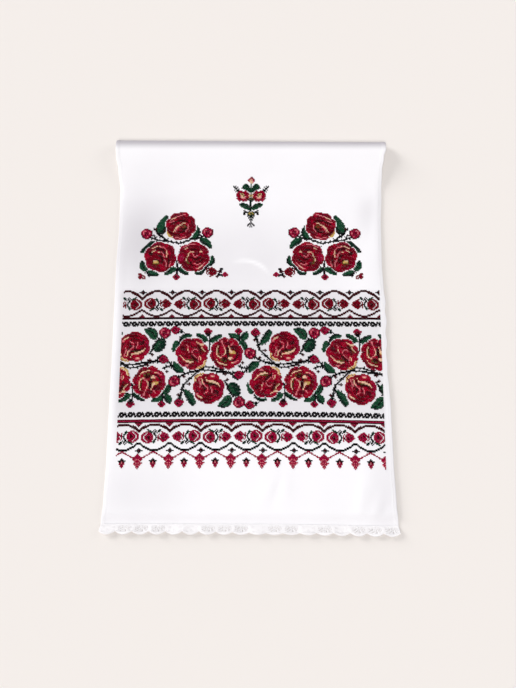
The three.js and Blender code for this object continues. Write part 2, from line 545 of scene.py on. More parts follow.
HOOKED_ROSE = (
    Fold("c", 1.6, ((-12.8, 3.2), (-12.9, -4.3), (-8.9, -10.8))),
    Fold("p", 1.4, ((-7, 10), (0.2, 12.2), (5.8, 11.4))),
    Fold("m", 1.3, ((-9.6, -0.6), (-6.6, -3.2), (-2.4, -3.8))),
    Patch("p", (-8.6, 4.4), (2.2, 1.9)),
    Fold("m", 1.4, ((-10.2, 6), (-8, 5.4), (-7, 3))),
    Fold("m", 2, ((-2, -0.2), (0.4, -3.6), (4.4, -6.4), (5, -9.2))),
    Fold("m", 2, ((4.2, 8.8), (6, 5.6), (7.6, 2.6), (7.8, -0.8))),
    Fold("m", 1.4, ((-1.6, 9.2), (-0.6, 6), (2.6, 5.6))),
    Fold("p", 1.8, ((1.4, 1.6), (4.2, 0.8), (4.4, -1.6))),
    Fold("m", 1.3, ((1.2, -8.2), (3.4, -10.2), (4, -13))),
    Fold("p", 1.4, ((-6.8, -9), (-2, -11.6), (2.2, -10.8))),
    Fold("w", 1.2, ((-10.8, -1.7), (-8.9, -3.5), (-7.4, -5.4), (-5.4, -6.8))),
    Fold("w", 2.2, ((-6.4, -6.2), (-4, -7.4), (-1.4, -8), (1.2, -7.6))),
    Fold("o", 2.2, ((-4.6, -5.4), (-2.2, -6), (0.6, -5.8))),
    Patch("i", (-4.4, -10.9), (2.1, 0.9)),
    Fold("i", 1, ((-4.7, 7.7), (-3.6, 5.5), (-4.2, 3.2), (-2.5, 1))),
    Fold("w", 1, ((-4, 4.2), (-3.6, 2.8))),
    Fold("i", 1, ((-0.2, 1.4), (0.5, 3.2), (2.8, 4), (5.2, 3.2))),
    Fold("i", 1.2, ((0.8, -0.6), (3.2, -2.8), (5.4, -4.3), (6.2, -7.3))),
    Fold("w", 1, ((6.9, -2.8), (8, -5), (8.2, -7.3))),
    Fold("w", 1, ((4.3, 10.4), (6.9, 9.2))),
    Patch("w", (8.4, 8.4), (2, 1.1)),
    Fold("o", 1.4, ((6.9, 7.3), (8.6, 4.7), (9.8, 2.2))),
    Fold("w", 1, ((8.4, 6.2), (9.8, 4.2), (11.2, 2.1))),
    Patch("s", (11, -1.3), (1.6, 1.6)),
    Patch("s", (8.2, -9.4), (2.6, 2.4)),
    Fold("y", 1.6, ((4.5, -13.2), (8, -13.4), (11.2, -10.8), (12.8, -6.4))),
    Fold("w", 1, ((6, -12.4), (8.6, -11.9), (10.6, -9.9), (11.6, -6.4))),
)
GOLDEN_ROSE = (
    Fold("p", 1.4, ((-12.6, 6), (-12.9, -1), (-11, -7.4))),
    Fold("m", 1.1, ((-12.4, -6), (-9, -9.6), (-6.8, -13))),
    Fold("c", 1.6, ((12.4, 4.4), (13, -2), (10.6, -8.8))),
    Patch("p", (0.8, 9), (2.7, 2)),
    Patch("p", (7.9, 5.5), (2.2, 1.9)),
    Fold("m", 1.3, ((5.2, 8), (5.4, 4.6), (7.6, 2.8))),
    Fold("m", 1.8, ((9.4, 0.8), (9.6, -2.6), (7.4, -6.4), (3, -7.2))),
    Patch("m", (-1.9, -5.8), (3.2, 2.1)),
    Fold("m", 3.2, ((0.2, 6.2), (1.2, 1.6), (1.4, -3.6))),
    Fold("m", 1.6, ((-7.2, 6.2), (-7.4, 2.4), (-6.4, -1.6))),
    Patch("s", (-4.2, 3), (2.4, 4.2)),
    Fold("o", 1.2, ((-7.8, 4), (-7.6, 0.8), (-6.4, -1.4))),
    Fold("w", 1, ((-7.6, 7.2), (-9.2, 3.2), (-9.2, -0.4), (-7.8, -3.2), (-4.8, -3.6))),
    Patch("i", (-4.3, 11.3), (1.3, 1.1)),
    Fold("i", 1.4, ((-4.5, 10.4), (-2.3, 5.9), (-0.8, 2.1), (-1.9, -1.3), (-4.9, -3))),
    Fold("w", 1, ((-1.6, 4.4), (-0.8, 2.1), (-1.6, -0.6))),
    Fold("w", 1.5, ((-8.6, -6.2), (-6.8, -8.6), (-3.4, -10.2), (0, -10.5))),
    Patch("o", (-4.2, -6.5), (1.3, 0.8)),
    Patch("o", (-0.8, -7.6), (1.3, 0.8)),
    Fold("w", 1.3, ((2, 6.8), (2.6, 4.4), (3.4, 2.4))),
    Patch("y", (5.5, 0.8), (2.6, 1.7)),
    Patch("w", (4.3, 1.8), (1.5, 1.2)),
    Patch("w", (3.6, -4.7), (2.5, 1.3)),
    Patch("i", (5.8, -5), (1, 0.8)),
    Fold("o", 1, ((3.4, -1.6), (5.8, -2))),
    Fold("i", 1.8, ((4.5, -9.2), (7.5, -8.4), (10.5, -6.5))),
    Fold("w", 1, ((4.5, -9.2), (6.2, -9))),
    Fold("i", 1, ((6, 10), (3.6, 7.4))),
    Patch("i", (1.1, 11.9), (0.8, 0.8)),
)
CROWN_ROSE = (
    Fold("p", 1.4, ((-9, -9), (-3, -11.2), (3, -10.4))),
    Fold("m", 2, ((-12.4, 0.6), (-8.3, -3), (-1, -5.9), (5.1, -5.2), (8.6, -2.4))),
    Fold("m", 2.5, ((-4.4, 5.4), (0.6, 6.6), (5.6, 4), (6.6, 0.4))),
    Fold("m", 2, ((-0.6, 2.6), (3, 3.4), (6, 0.8))),
    Fold("m", 1.6, ((-12, 3.9), (-9.6, 7), (-6.6, 8.6), (-1.4, 9.6))),
    Fold("p", 1.8, ((9.4, -7), (11.4, -1), (9.8, 5.4))),
    Fold("p", 1.6, ((3, 9.8), (7.4, 7.6), (9.4, 4.6))),
    Patch("p", (2.4, -8.2), (2, 1.2)),
    Fold("i", 1, ((-10.1, -6.2), (-7.4, -8.2), (-4.6, -9.2), (4.5, -12.4))),
    Fold("w", 1, ((-8.8, -7.2), (-5.2, -8.8))),
    Fold("i", 1, ((-11, -3.8), (-7.1, -5.2))),
    Fold("w", 1.3, ((-6.7, 6.3), (-5.4, 2.7), (-1.8, -0.2), (1.5, -1.6))),
    Fold("i", 1, ((-5.4, 5.6), (-3.6, 2.6), (-0.6, 0.8))),
    Fold("o", 1, ((0.9, 0.4), (3.9, -1), (4.8, 1.2), (2, 2))),
    Fold("w", 1, ((2.2, -3.4), (4.2, -3))),
    Fold("i", 1, ((7.4, -0.6), (7, 3), (4.6, 5.6))),
    Fold("y", 2.2, ((-13.2, 6.4), (-11.2, 10), (-7.7, 11.8))),
    Fold("i", 1.2, ((-5.2, 11.8), (0.2, 12.9), (5.1, 11.2))),
)
DUSKY_ROSE = (
    Fold("p", 1.6, ((-12.4, -4.4), (-8.6, -10.2), (-2, -12.6))),
    Fold("p", 1.4, ((8, -9), (11, -3.4), (9.6, 2.4))),
    Fold("c", 1.6, ((-13, 3), (-10, 9.6), (-4, 12.6))),
    Patch("m", (-8.8, -3.2), (2.1, 1.8)),
    Fold("m", 2.3, ((-7.4, -5.4), (-3, -8.2), (2.2, -7.2), (4.6, -3))),
    Fold("m", 2.2, ((-3.6, -3), (0.2, -1), (2.4, 2.4), (1, 7))),
    Fold("m", 1.8, ((7.6, -1.6), (8.2, 3.6), (7, 8.4))),
    Patch("m", (-3.6, 4.6), (3.3, 2.4)),
    Fold("p", 1.6, ((-9, 4.6), (-6, 9), (0.4, 10.4))),
    Patch("r", (-8.4, 1.4), (2.4, 1.8)),
    Fold("w", 1, ((-7.3, -8.3), (-3.7, -10.5), (-1.4, -10.4))),
    Fold("i", 1, ((-0.4, -10.2), (3, -9.3), (5.4, -6.8))),
    Fold("w", 1, ((5.8, -5.8), (6.4, -2.8), (5.5, 0.2))),
    Fold("w", 1, ((-7.9, -5), (-5, -6.5))),
    Patch("w", (-1.2, -4.6), (0.9, 0.7)),
    Fold("i", 1, ((1.4, -5), (3, -2.6), (3.4, 0.4))),
    Patch("y", (-3.7, 5), (2.5, 1.6)),
    Patch("w", (-5, 3.8), (1.2, 0.8)),
    Fold("o", 1.2, ((-6.8, 6.4), (-3.8, 7.6), (-0.8, 6.6))),
    Fold("i", 1, ((4.3, 2.6), (5.9, 6.3), (5.3, 9.4))),
    Fold("i", 1, ((9.6, 5.2), (8.6, 9.4))),
)
RIPPLED_ROSE = (
    Patch("c", (-11.4, 0.8), (2.2, 3.6)),
    Fold("p", 1.3, ((-13.4, -4.6), (-10.2, -5.6), (-8.6, -3))),
    Fold("p", 1.6, ((-6.8, -9.4), (0.6, -10.8), (6.6, -9), (10.4, -4.2))),
    Fold("m", 2, ((-4.8, -6.4), (0.6, -7.4), (5, -6))),
    Fold("m", 2.2, ((-2.8, 0.8), (2.4, 2.6), (6.4, 0.2), (7.6, -3.4))),
    Fold("m", 1.8, ((-3.4, 3.6), (-2, 7.4), (1.6, 9.6))),
    Fold("m", 1.6, ((2.6, 5.6), (6.6, 4.4), (9.6, 1))),
    Fold("p", 1.8, ((-8.2, 4), (-7.4, 8.6), (-4, 11.6))),
    Patch("p", (3.2, -3), (2, 1.5)),
    Fold("i", 1, ((-9.8, -9.2), (-4.9, -12), (1.2, -12.6))),
    Fold("w", 1, ((-7.8, -8), (-5.8, -9))),
    Fold("w", 1.3, ((-2.4, -5.2), (-4.6, -2.6), (-5.6, 0.4))),
    Fold("o", 1.9, ((-5.7, 0.6), (-5.8, 4.4), (-4.2, 7))),
    Fold("w", 1, ((-6.8, 1.6), (-6.8, 4))),
    Fold("i", 1, ((-1.4, -2.6), (1.4, -0.4), (4.2, -0.6))),
    Patch("w", (6.7, -4.9), (1.2, 0.9)),
    Fold("i", 1, ((0.6, 6.8), (3.4, 7.6), (6.4, 6.6))),
    Fold("i", 1.6, ((2.8, 12), (7.2, 9.5), (10.6, 6.1))),
    Fold("w", 1, ((4.8, 11.2), (8, 8.8))),
    Fold("w", 1, ((-1.2, -4.4), (0.4, -4.8))),
)


@dataclass(frozen=True)
class Rose:
    """A full cabbage rose: lobed outer petals in two reds, and over them its folds of shade and gleams."""

    parts: tuple[Fold | Patch, ...]
    radius: float = 14.6
    lobes: int = 7
    charted: float = 14.6  # the radius that the folds are charted for
    clear: float = 0.8  # squares left bare round the rose, which set it off from its leaves
    depth: float = 0.0  # how much of the rose is in the deeper red
    body: float = 0.9  # the reach of the notches between the outer petals, as a share of the radius
    petal: float = 0.13  # how much further the petals reach
    rim: float = 1.1  # squares, how broad its darker rim is
    notch: float = 0.12  # how full the petals are at most in the dark notches

    def work(self, needle: Needle) -> None:
        """Works the rose.

        Args:
            needle: where the rose's centre lies.
        """
        reach = math.ceil(self.radius + self.clear) + 1
        for x in range(-reach, reach + 1):
            for y in range(-reach, reach + 1):
                angle, distance = math.atan2(y, x), math.hypot(x, y)
                if distance <= self.edge(angle) + self.clear:
                    needle.dab(x, y, self.ground(angle, distance))
        size = self.radius / self.charted
        for part in self.parts:
            if isinstance(part, Patch):
                needle.disc((part.centre[0] * size, part.centre[1] * size),
                            (part.radii[0] * size, part.radii[1] * size), LETTERS[part.thread])
            else:
                needle.sweep([(x * size, y * size) for x, y in part.path], LETTERS[part.thread], part.width)

    def edge(self, angle: float) -> float:
        """How far the lobed outer petals reach from the centre at an angle."""
        return self.radius * (self.body + self.petal * self.lobe(angle) ** 0.6)

    def lobe(self, angle: float) -> float:
        """How full the outer petals are at an angle: 0 in the notches between them."""
        return abs(math.sin(0.5 * self.lobes * angle + 0.6))

    def ground(self, angle: float, distance: float) -> Thread | None:
        """The red that lies under the petals, or None outside the rose.

        Args:
            angle: clockwise from the right, in radians.
            distance: squares from the centre.

        Returns:
            The thread for that square.
        """
        edge = self.edge(angle)
        if distance > edge:
            return None
        # broad bands of the two reds swirl round the rose, broken up by narrower ones
        shade = math.sin(3.1 * angle + 5.5 * distance / self.radius) + 0.6 * math.sin(7 * angle - 2)
        if self.lobe(angle) < self.notch and distance > 0.7 * self.radius:
            return Thread.PLUM
        if distance > edge - self.rim and shade < -0.3:
            return Thread.CRIMSON
        return Thread.SCARLET if shade > self.depth else Thread.RED


class LeafTone(Enum):
    """How a leaf is shaded: half dark, mostly bright, or nearly black."""

    HALF = "half"
    BRIGHT = "bright"
    DARK = "dark"


@dataclass(frozen=True)
class Leaf:
    """A rose leaf from its stalk to its tip, lit along one side and dark along the other."""

    stalk: Point
    tip: Point
    width: float
    belly: float = 0.0  # squares, how far its middle bows to one side
    serrated: bool = False
    tone: LeafTone = LeafTone.HALF
    tooth_pitch: float = 2.9  # squares
    tooth_depth: float = 1.5

    def work(self, needle: Needle) -> None:
        """Works the leaf.

        Args:
            needle: the centre of the leaf's motif.
        """
        (x0, y0), (x1, y1) = self.stalk, self.tip
        length = math.hypot(x1 - x0, y1 - y0)
        ux, uy = (x1 - x0) / length, (y1 - y0) / length
        reach = math.ceil(length / 2 + self.width + abs(self.belly)) + 1
        middle = (round((x0 + x1) / 2), round((y0 + y1) / 2))
        for x in range(middle[0] - reach, middle[0] + reach + 1):
            for y in range(middle[1] - reach, middle[1] + reach + 1):
                along = ((x - x0) * ux + (y - y0) * uy) / length
                if not -0.03 <= along <= 1.03:
                    continue
                share = min(max(along, 0.0), 1.0)
                beside = (y - y0) * ux - (x - x0) * uy - self.belly * math.sin(math.pi * share)
                half = 0.5 * self.width * math.sin(math.pi * share ** 0.8) ** 0.7 + 0.6
                if self.serrated:
                    half += self.tooth_depth * ((share * length / self.tooth_pitch) % 1.0 - 0.5)
                if abs(beside) <= half:
                    needle.dab(x, y, self.shade(share, beside, half - abs(beside)))

    def shade(self, share: float, beside: float, inside: float) -> Thread:
        """The green at a place on the leaf.

        Args:
            share: how far it is from the stalk to the tip.
            beside: squares from the midrib.
            inside: squares from the nearest edge.

        Returns:
            The thread for that square.
        """
        if beside > 0 and inside < 0.8 or self.serrated and inside < 0.4:
            return Thread.BLACK
        if self.tone is LeafTone.DARK:
            return Thread.GREEN if beside < -0.5 and share < 0.7 else Thread.DARK_GREEN
        bright = self.tone is LeafTone.BRIGHT
        if abs(beside) < 0.5 and 0.15 < share < 0.85 and self.width > 4:
            return Thread.BLACK if bright else Thread.GREEN
        return Thread.GREEN if beside < 0 or bright and share < 0.75 else Thread.DARK_GREEN


# The small motifs' charts: a letter for each cross in its thread, and a dot for bare cloth
ROSETTE = """
...mccm....
..ccmccmm..
.cciicccccm
ccicccmcccm
mcicmmccicm
ccicmcmcicm
mcccmcmccmc
.mccmcccccm
.mmcccicmm.
..mmccccm..
....mcmm...
""".split()
BUD = """
...ccm...
..ccccm..
.ccmcccm.
ccmmcccc.
ccmccmccc
mccmmcccc
.mcccccm.
..mccm...
""".split()
CALYX = """
k.kk.k
.kkkk.
..dd..
..kk..
""".split()
SMALL_BUD = """
...k...
..mcm..
.cmccm.
ccmpccc
ccpmpcc
.ccpcc.
..ccc..
""".split()
TIP_BUD = """
...kk...
..kkkk..
.kmkkmk.
.cmppmc.
ccmppmcc
cccppccc
.ccccc..
..ccc...
""".split()
RINGED_ROSE = """
....rrrr...
..rrr.rrrr.
.rrr.rrrrr.
rrr.rrrmrrr
rr.rrrmmrrr
rr.rrmmmrrr
rr.rrrmmrrr
rrr.rrrrrrr
.rrr.rrrrr.
..rrr.rrr..
....rrrr...
""".split()
PLAIN_BUD = """
....rr.....
r..rrrrr...
r.rrrmrrr..
rmrrmmrrrr.
rm.rmrrmrrr
r.rrrrrmrr.
r.rrrrrrrr.
.r.rrrrrr..
....rrr....
...rr......
""".split()
SPRIG = """
......g......
.....gdd.....
......dd.....
.......dk....
........k....
........kd...
........k....
.......kk....
......kk.....
....d.kk.k...
..gddd.kk.kd.
.gdd..k.k.kdd
gd.....k...dd
""".split()
DIAMOND = """
...k...
..kkk..
kkkpkkk
..kkk..
...k...
""".split()
SMALL_TRIANGLE = """
...p...
..ppp..
.pppcp.
""".split()
TWIST = """
.kkk..kk
kkkkk.kk
kk.kkkk.
kkkkkkk.
.kkk.k..
""".split()
LARGE_PENDANT = """
....c....
...ccc...
..ccccc..
.ccccccc.
ccccccccc
ccciciccc
.cicccic.
..ccccc..
.cciciccc
.iccccci.
..cicic..
...ccc...
...cic...
....c....
""".split()
SMALL_PENDANT = """
...k...
..kkk..
kkkpkkk
.kkipk.
.cpipc.
.ccpcc.
..ccc..
..ccc..
...c...
""".split()
FAR_BUD = """
..cc..
.cccc.
cccpcc
.ccccc
..cc..
""".split()
LOW_BUD = """
rrr....
rrrr...
.rcrrr.
rrrr.rr
rrrrr.r
.rr.rrr
""".split()
CENTRE_BUD = """
...cp..
..ccpc.
.ccwicp
ccwiwcc
.cwwwic
..wwwi.
...ww..
""".split()
UPRIGHT_LEAF = """
...gdd...
..ggddd..
.ggkgddd.
.kggkgdd.
kkgggkgdd
..kggdkgd
....kggkd
......kgd
.......kd
""".split()
TWIG = """
k.k....
kk..k..
.kkk...
..kk.k.
.k.kkk.
...kkd.
..k.kkd
""".split()
CENTRE_ROSE = """
...ccp..cc...
..ccscpcssc..
.cssmssmcsrc.
crsmwoymssmc.
csrmyoowcrscr
csrsiwyomsrcs
crsriwwowirsc
.csmiwwwirssc
rcsrmiiiirmsc
.ccscrssrsrc.
..ccpccspcc..
...c..cc.c...
""".split()
STEM = """
...o...
.o.d.o.
..wdw..
.wyoyw.
..wow..
.o.d.o.
o.dod.o
kko.okk
.kkdkk.
..kdk..
""".split()
VASE = """
kkdkdkk
k.kdk.k
.kdkdk.
.k.k.k.
..kdk..
..k.k..
...k...
...k...
..kkk..
.kk.kk.
kk.k.kk
k..k..k
..k.k..
""".split()
FLOWER = """
k.kk.kk.k
.kgygygk.
.gyogoyg.
.ogyogoo.
..ookoo..
""".split()


@dataclass(frozen=True)
class LatticeBorder:
    """A row of pointed ovals between two scalloped lines, each with a rose, a sprig and a bud."""

    line: Thread
    inner_line: Thread
    bloom: Thread
    first_cusp: int = 20
    pitch: int = 28
    crown: float = 0.3  # the row where the upper line's arcs are highest
    cusp: float = 7.5  # the row where they meet
    lower_cusp: float = 19.0  # the row where the lower line's arcs meet
    lower_bottom: float = 25.0  # the row where they are lowest
    middle: int = 13  # the row of the flowers
    bends: tuple[float, float] = (1.9, 1.65)  # how full the arcs of the two lines are
    heavy: tuple[float, float] = (0.3, 2.0)  # how steep each line is where it gains a square in breadth
    diamond: int = 2  # the row of the diamonds at the cusps
    rose: int = -7  # squares from the oval's middle
    bud: int = 8

    def work(self, needle: Needle) -> None:
        """Works the whole border.

        Args:
            needle: the square that the border's first column and row start from.
        """
        half = self.pitch / 2
        lines = ((self.crown, self.cusp, self.bends[0], self.heavy[0], self.line),
                 (self.lower_bottom, self.lower_cusp, self.bends[1], self.heavy[1], self.inner_line))
        for col in range(needle.chart.columns):
            off, near = (abs((at - self.first_cusp) % self.pitch - half) / half for at in (col, col + 1))
            for crown, cusp, bend, heavy, thread in lines:
                low, high = sorted(mix(crown, cusp, at ** bend) for at in (off, near))
                steep = 1 if high - low > heavy else 0
                for down in range(round(low), max(round(high), round(low) + 1) + 1 + steep):
                    needle.dab(col, down, thread)
        for i in range(needle.chart.columns // self.pitch + 2):
            cusp = self.first_cusp + self.pitch * (i - 1)
            needle.moved(cusp, self.diamond).picture(DIAMOND)
            rising = i % 2 == 0
            oval = needle.moved(cusp + self.pitch // 2 + rising, self.middle + rising, mirrored=rising,
                                flipped=rising)
            oval.moved(self.rose, 0).picture(RINGED_ROSE, self.bloom)
            oval.moved(-1, 1).picture(SPRIG)
            oval.moved(self.bud, 0).picture(PLAIN_BUD, self.bloom)


def work_twist(needle: Needle) -> None:
    """Works the narrow dark twist of rings and slanting strokes from edge to edge."""
    pitch = len(TWIST[0])
    for i in range(needle.chart.columns // pitch + 2):
        needle.moved(pitch * i - 2, 0).picture(TWIST)


@dataclass(frozen=True)
class RoseGroup:
    """A group of roses and what grows round them, in squares from the group's middle."""

    leaves: tuple[Leaf, ...]
    stems: tuple[tuple[Point, ...], ...]
    berries: tuple[Point, ...]
    blooms: tuple[tuple[int, int, Sequence[str]], ...]
    roses: tuple[tuple[int, int, Rose], ...]
    weight: float = 1.7  # squares, how broad the stems are
    thorn_pitch: float = 2.7  # squares from thorn to thorn
    thorn_reach: float = 1.3  # squares from the middle of the stem

    def work_spray(self, needle: Needle) -> None:
        """Works what grows round the roses.

        Args:
            needle: the middle of the group.
        """
        for leaf in self.leaves:
            leaf.work(needle)
        for stem in self.stems:
            needle.line(stem, Thread.BLACK, self.weight)
            self.work_thorns(needle, stem)
        for berry in self.berries:
            needle.disc(berry, (1.2, 1.2), Thread.MAROON)
        for across, down, rows in self.blooms:
            needle.moved(across, down).picture(rows)

    def work_roses(self, needle: Needle, late: int = 0) -> None:
        """Works the roses.

        Args:
            needle: the middle of the group.
            late: squares that the roses below the middle lie further right, and as far up.
        """
        for across, down, rose in self.roses:
            slip = late if down > 0 else 0
            rose.work(needle.moved(across + slip, down - slip))

    def work_thorns(self, needle: Needle, stem: Sequence[Point]) -> None:
        """Works single dark squares along a stem, on one side and then the other.

        Args:
            needle: the middle of the group.
            stem: the points that the stem runs through.
        """
        side = 1.0
        for (x0, y0), (x1, y1) in zip(stem, stem[1:]):
            length = math.hypot(x1 - x0, y1 - y0)
            for i in range(round(length / self.thorn_pitch)):
                share = (i + 0.5) * self.thorn_pitch / length
                across, down = side * (y0 - y1) / length, side * (x1 - x0) / length
                needle.dab(mix(x0, x1, share) + self.thorn_reach * across,
                           mix(y0, y1, share) + self.thorn_reach * down, Thread.BLACK)
                side = -side


BAND_GROUP = RoseGroup(
    leaves=(
        Leaf((20, -27), (9, -37), 7.8, 2.0, tone=LeafTone.BRIGHT),
        Leaf((19, -15), (28, -28), 9.0, 0.5, True, LeafTone.DARK),
        Leaf((-13, -36), (-23, -21), 6.5, -1.0, True),
        Leaf((-24, -5), (-33, 5), 6.0, 1.5),
        Leaf((-30, 25), (-34, 15), 6.5, 1.0),
        Leaf((-27, 26), (-17, 31), 5.5, 0.5),
        Leaf((-2, 25), (-12, 32), 5.5, 0.5, tone=LeafTone.BRIGHT),
        Leaf((1, 24), (11, 31), 5.5, -0.5),
        Leaf((29, 25), (34, 16), 5.5, 0.5, tone=LeafTone.BRIGHT),
        Leaf((28, 27), (18, 32), 5.5, 0.5),
        Leaf((30, 26), (35, 34), 5.5, -0.5),
    ),
    stems=(
        ((-26, -28), (-24, -18), (-18, -11), (-10, -4)),
        ((-28, -10), (-24, -7), (-21, -6), (-16, -4), (-10, -3), (-5, -3), (1, -3), (6, -4), (12, -5),
         (18, -6)),
        ((-9, -2), (-4, 0), (2, 0), (5, -1), (9, -2), (16, -5), (21, -6), (26, -5)),
        ((-16, -5), (-10, -3)),
        ((14, -13), (17, -17), (18, -21), (23, -28)),
        ((21, -6), (24, -10), (27, -12)),
        ((27, 1), (32, -1), (36, -1), (35, -3), (31, -6)),
        ((-3, 13), (0, 18), (0, 30)),
        ((-3, 13), (-5, 11)),
        ((28, 24), (28, 31)),
        ((-28, 22), (-27, 29)),
        ((34, -1), (40, 1), (46, -1)),
    ),
    berries=((-18, -16), (-23, -9), (-28, -26), (17, -12), (15, -7), (31, 4), (13, -2)),
    blooms=(
        (-32, -13, ROSETTE), (28, -33, ROSETTE), (-27, -34, BUD), (-27, -29, CALYX), (24, -8, CALYX),
        (28, -8, BUD), (-32, 35, BUD), (-27, 34, CALYX), (-2, 33, TIP_BUD), (27, 34, SMALL_BUD),
    ),
    roses=(
        (-17, 14, Rose(HOOKED_ROSE, 15.0)), (15, 14, Rose(GOLDEN_ROSE, 15.0, 8)),
        (0, -20, Rose(HEAD_ROSE, 14.4)),
    ),
)
BOUQUET = RoseGroup(
    leaves=(
        Leaf((-22, 6), (-14, -12), 12.0, 2.5),
        Leaf((11, 14), (16, -1), 6.0, 2.5, True),
        Leaf((19, 12), (30, 22), 6.0, -1.0),
        Leaf((-25, 15), (-38, 26), 7.5, -1.5),
        Leaf((-32, 45), (-37, 35), 5.5, -1.0, tone=LeafTone.BRIGHT),
        Leaf((-31, 46), (-20, 49), 4.5, 0.5),
        Leaf((-4, 42), (-14, 49), 5.5, 0.5, tone=LeafTone.BRIGHT),
        Leaf((-1, 42), (8, 49), 5.5, -0.5),
        Leaf((28, 40), (31, 30), 5.5, 1.0),
        Leaf((15, 48), (24, 43), 5.5, 0.5),
    ),
    stems=(
        ((-29, 11), (-21, 14), (-11, 15), (-1, 17), (8, 14), (12, 12)),
        ((-26, 1), (-22, 7), (-19, 10), (-12, 14)),
        ((-17, 6), (-19, 10)),
        ((-24, 12), (-26, 8)),
        ((-4, 34), (-2, 41), (-3, 49)),
        ((12, 13), (17, 12), (24, 9)),
        ((27, 40), (24, 43), (31, 43)),
        ((-32, 45), (-29, 51)),
        ((37, 46), (41, 43), (37, 50), (43, 49)),
        ((0, 20), (6, 23)),
    ),
    berries=((-15, 4), (-24, 2), (38, 46), (36, 51)),
    blooms=(
        (-33, 7, ROSETTE), (26, 6, ROSETTE), (-3, 51, SMALL_BUD), (31, 46, PLAIN_BUD), (43, 49, FAR_BUD),
        (-36, 50, LOW_BUD),
    ),
    roses=(
        (-19, 31, Rose(DUSKY_ROSE, 15.2, 6, depth=0.65)),
        (13, 31, Rose(RIPPLED_ROSE, 15.2, 7, depth=0.65)),
        (0, -1, Rose(CROWN_ROSE, 14.6, 8, depth=0.75)),
    ),
    weight=1.5,
)


def work_rose_band(needle: Needle, first_group: int = 14, pitch: int = 70) -> None:
    """Works the wide band: groups of three roses, every second one upside down, along a dark vine.

    Args:
        needle: the band's first column and middle row.
        first_group: the column of the first whole group's middle.
        pitch: columns from group to group.
    """
    places = [first_group + pitch * (i - 1) for i in range(6)]
    groups = [needle.moved(col, 0, flipped=i % 2 == 0) for i, col in enumerate(places)]
    for group in groups:
        BAND_GROUP.work_spray(group)
    for group in groups:
        # two roses of each upside-down group lie a square further right
        BAND_GROUP.work_roses(group, late=1 if group.flipped else 0)


def work_centre_bouquet(needle: Needle) -> None:
    """Works the small bouquet in its vase, mirrored about its stem."""
    for mirrored in (False, True):
        side = needle.moved(0, 0, mirrored=mirrored)
        side.moved(-5, -12).picture(UPRIGHT_LEAF)
        Leaf((-1, 10), (-11, 5), 4.6, 0.6, tone=LeafTone.BRIGHT).work(side)
        side.moved(-14, -11).picture(TWIG)
        side.line(((-4, 13), (-6, 14), (-7, 16)), Thread.BLACK, 1.9)
        side.moved(-8, -4).picture(CENTRE_ROSE)
        side.dab(-6, 12, Thread.BLACK)
        side.dab(-7, 12, Thread.BLACK)
    needle.line(((0, -16), (0, -8)), Thread.GREEN)
    needle.line(((0, -7), (0, 12)), Thread.DARK_GREEN)
    needle.line(((-1, 2), (-1, 12)), Thread.BLACK)
    needle.moved(0, -3).picture(STEM)
    needle.moved(0, -20).picture(CENTRE_BUD)
    needle.moved(0, 15).picture(FLOWER)
    needle.moved(0, 23).picture(VASE)


def work_lines(needle: Needle, first_cusp: int = 20, pitch: int = 28, upper: int = 27,
               lower: int = 124) -> None:
    """Works the two straight lines over and under the rose band, with their small triangles.

    Args:
        needle: the chart's first column and row 0.
        first_cusp: the column of the first triangle.
        pitch: columns from triangle to triangle.
        upper: the upper line's first row.
        lower: the lower line's first row.
    """
    rows = ((upper, Thread.MAROON), (upper + 1, Thread.BLACK), (lower, Thread.PLUM),
            (lower + 1, Thread.CRIMSON), (lower + 2, Thread.MAROON))
    for col in range(needle.chart.columns):
        for row, thread in rows:
            needle.dab(col, row, thread)
    for i in range(needle.chart.columns // pitch + 2):
        cusp = first_cusp + pitch * (i - 1)
        needle.moved(cusp, upper - 2).picture(SMALL_TRIANGLE)
        # the lower triangles hang from their line, one square to the right
        for step in range(4):
            needle.line(((cusp - 2 + step, lower + 3 + step), (cusp + 4 - step, lower + 3 + step)),
                        Thread.CRIMSON if step == 1 else Thread.PLUM)


def work_pendants(needle: Needle, first_cusp: int = 21, pitch: int = 28) -> None:
    """Works the lowest border: thin lines down to the large pendants, and small pendants between.

    Args:
        needle: the chart's first column, and the row of the lower lattice's lowest line.
        first_cusp: the column of the first large pendant.
        pitch: columns from pendant to pendant.
    """
    half = pitch // 2
    for i in range(needle.chart.columns // pitch + 2):
        cusp = first_cusp + pitch * (i - 1)
        for side in (-1, 1):
            needle.line(((cusp + side * half, -1), (cusp + side * 4, 4.5)), Thread.CRIMSON, 1.3)
        needle.moved(cusp, 7).picture(LARGE_PENDANT)
        needle.moved(cusp + half, 9).picture(SMALL_PENDANT)


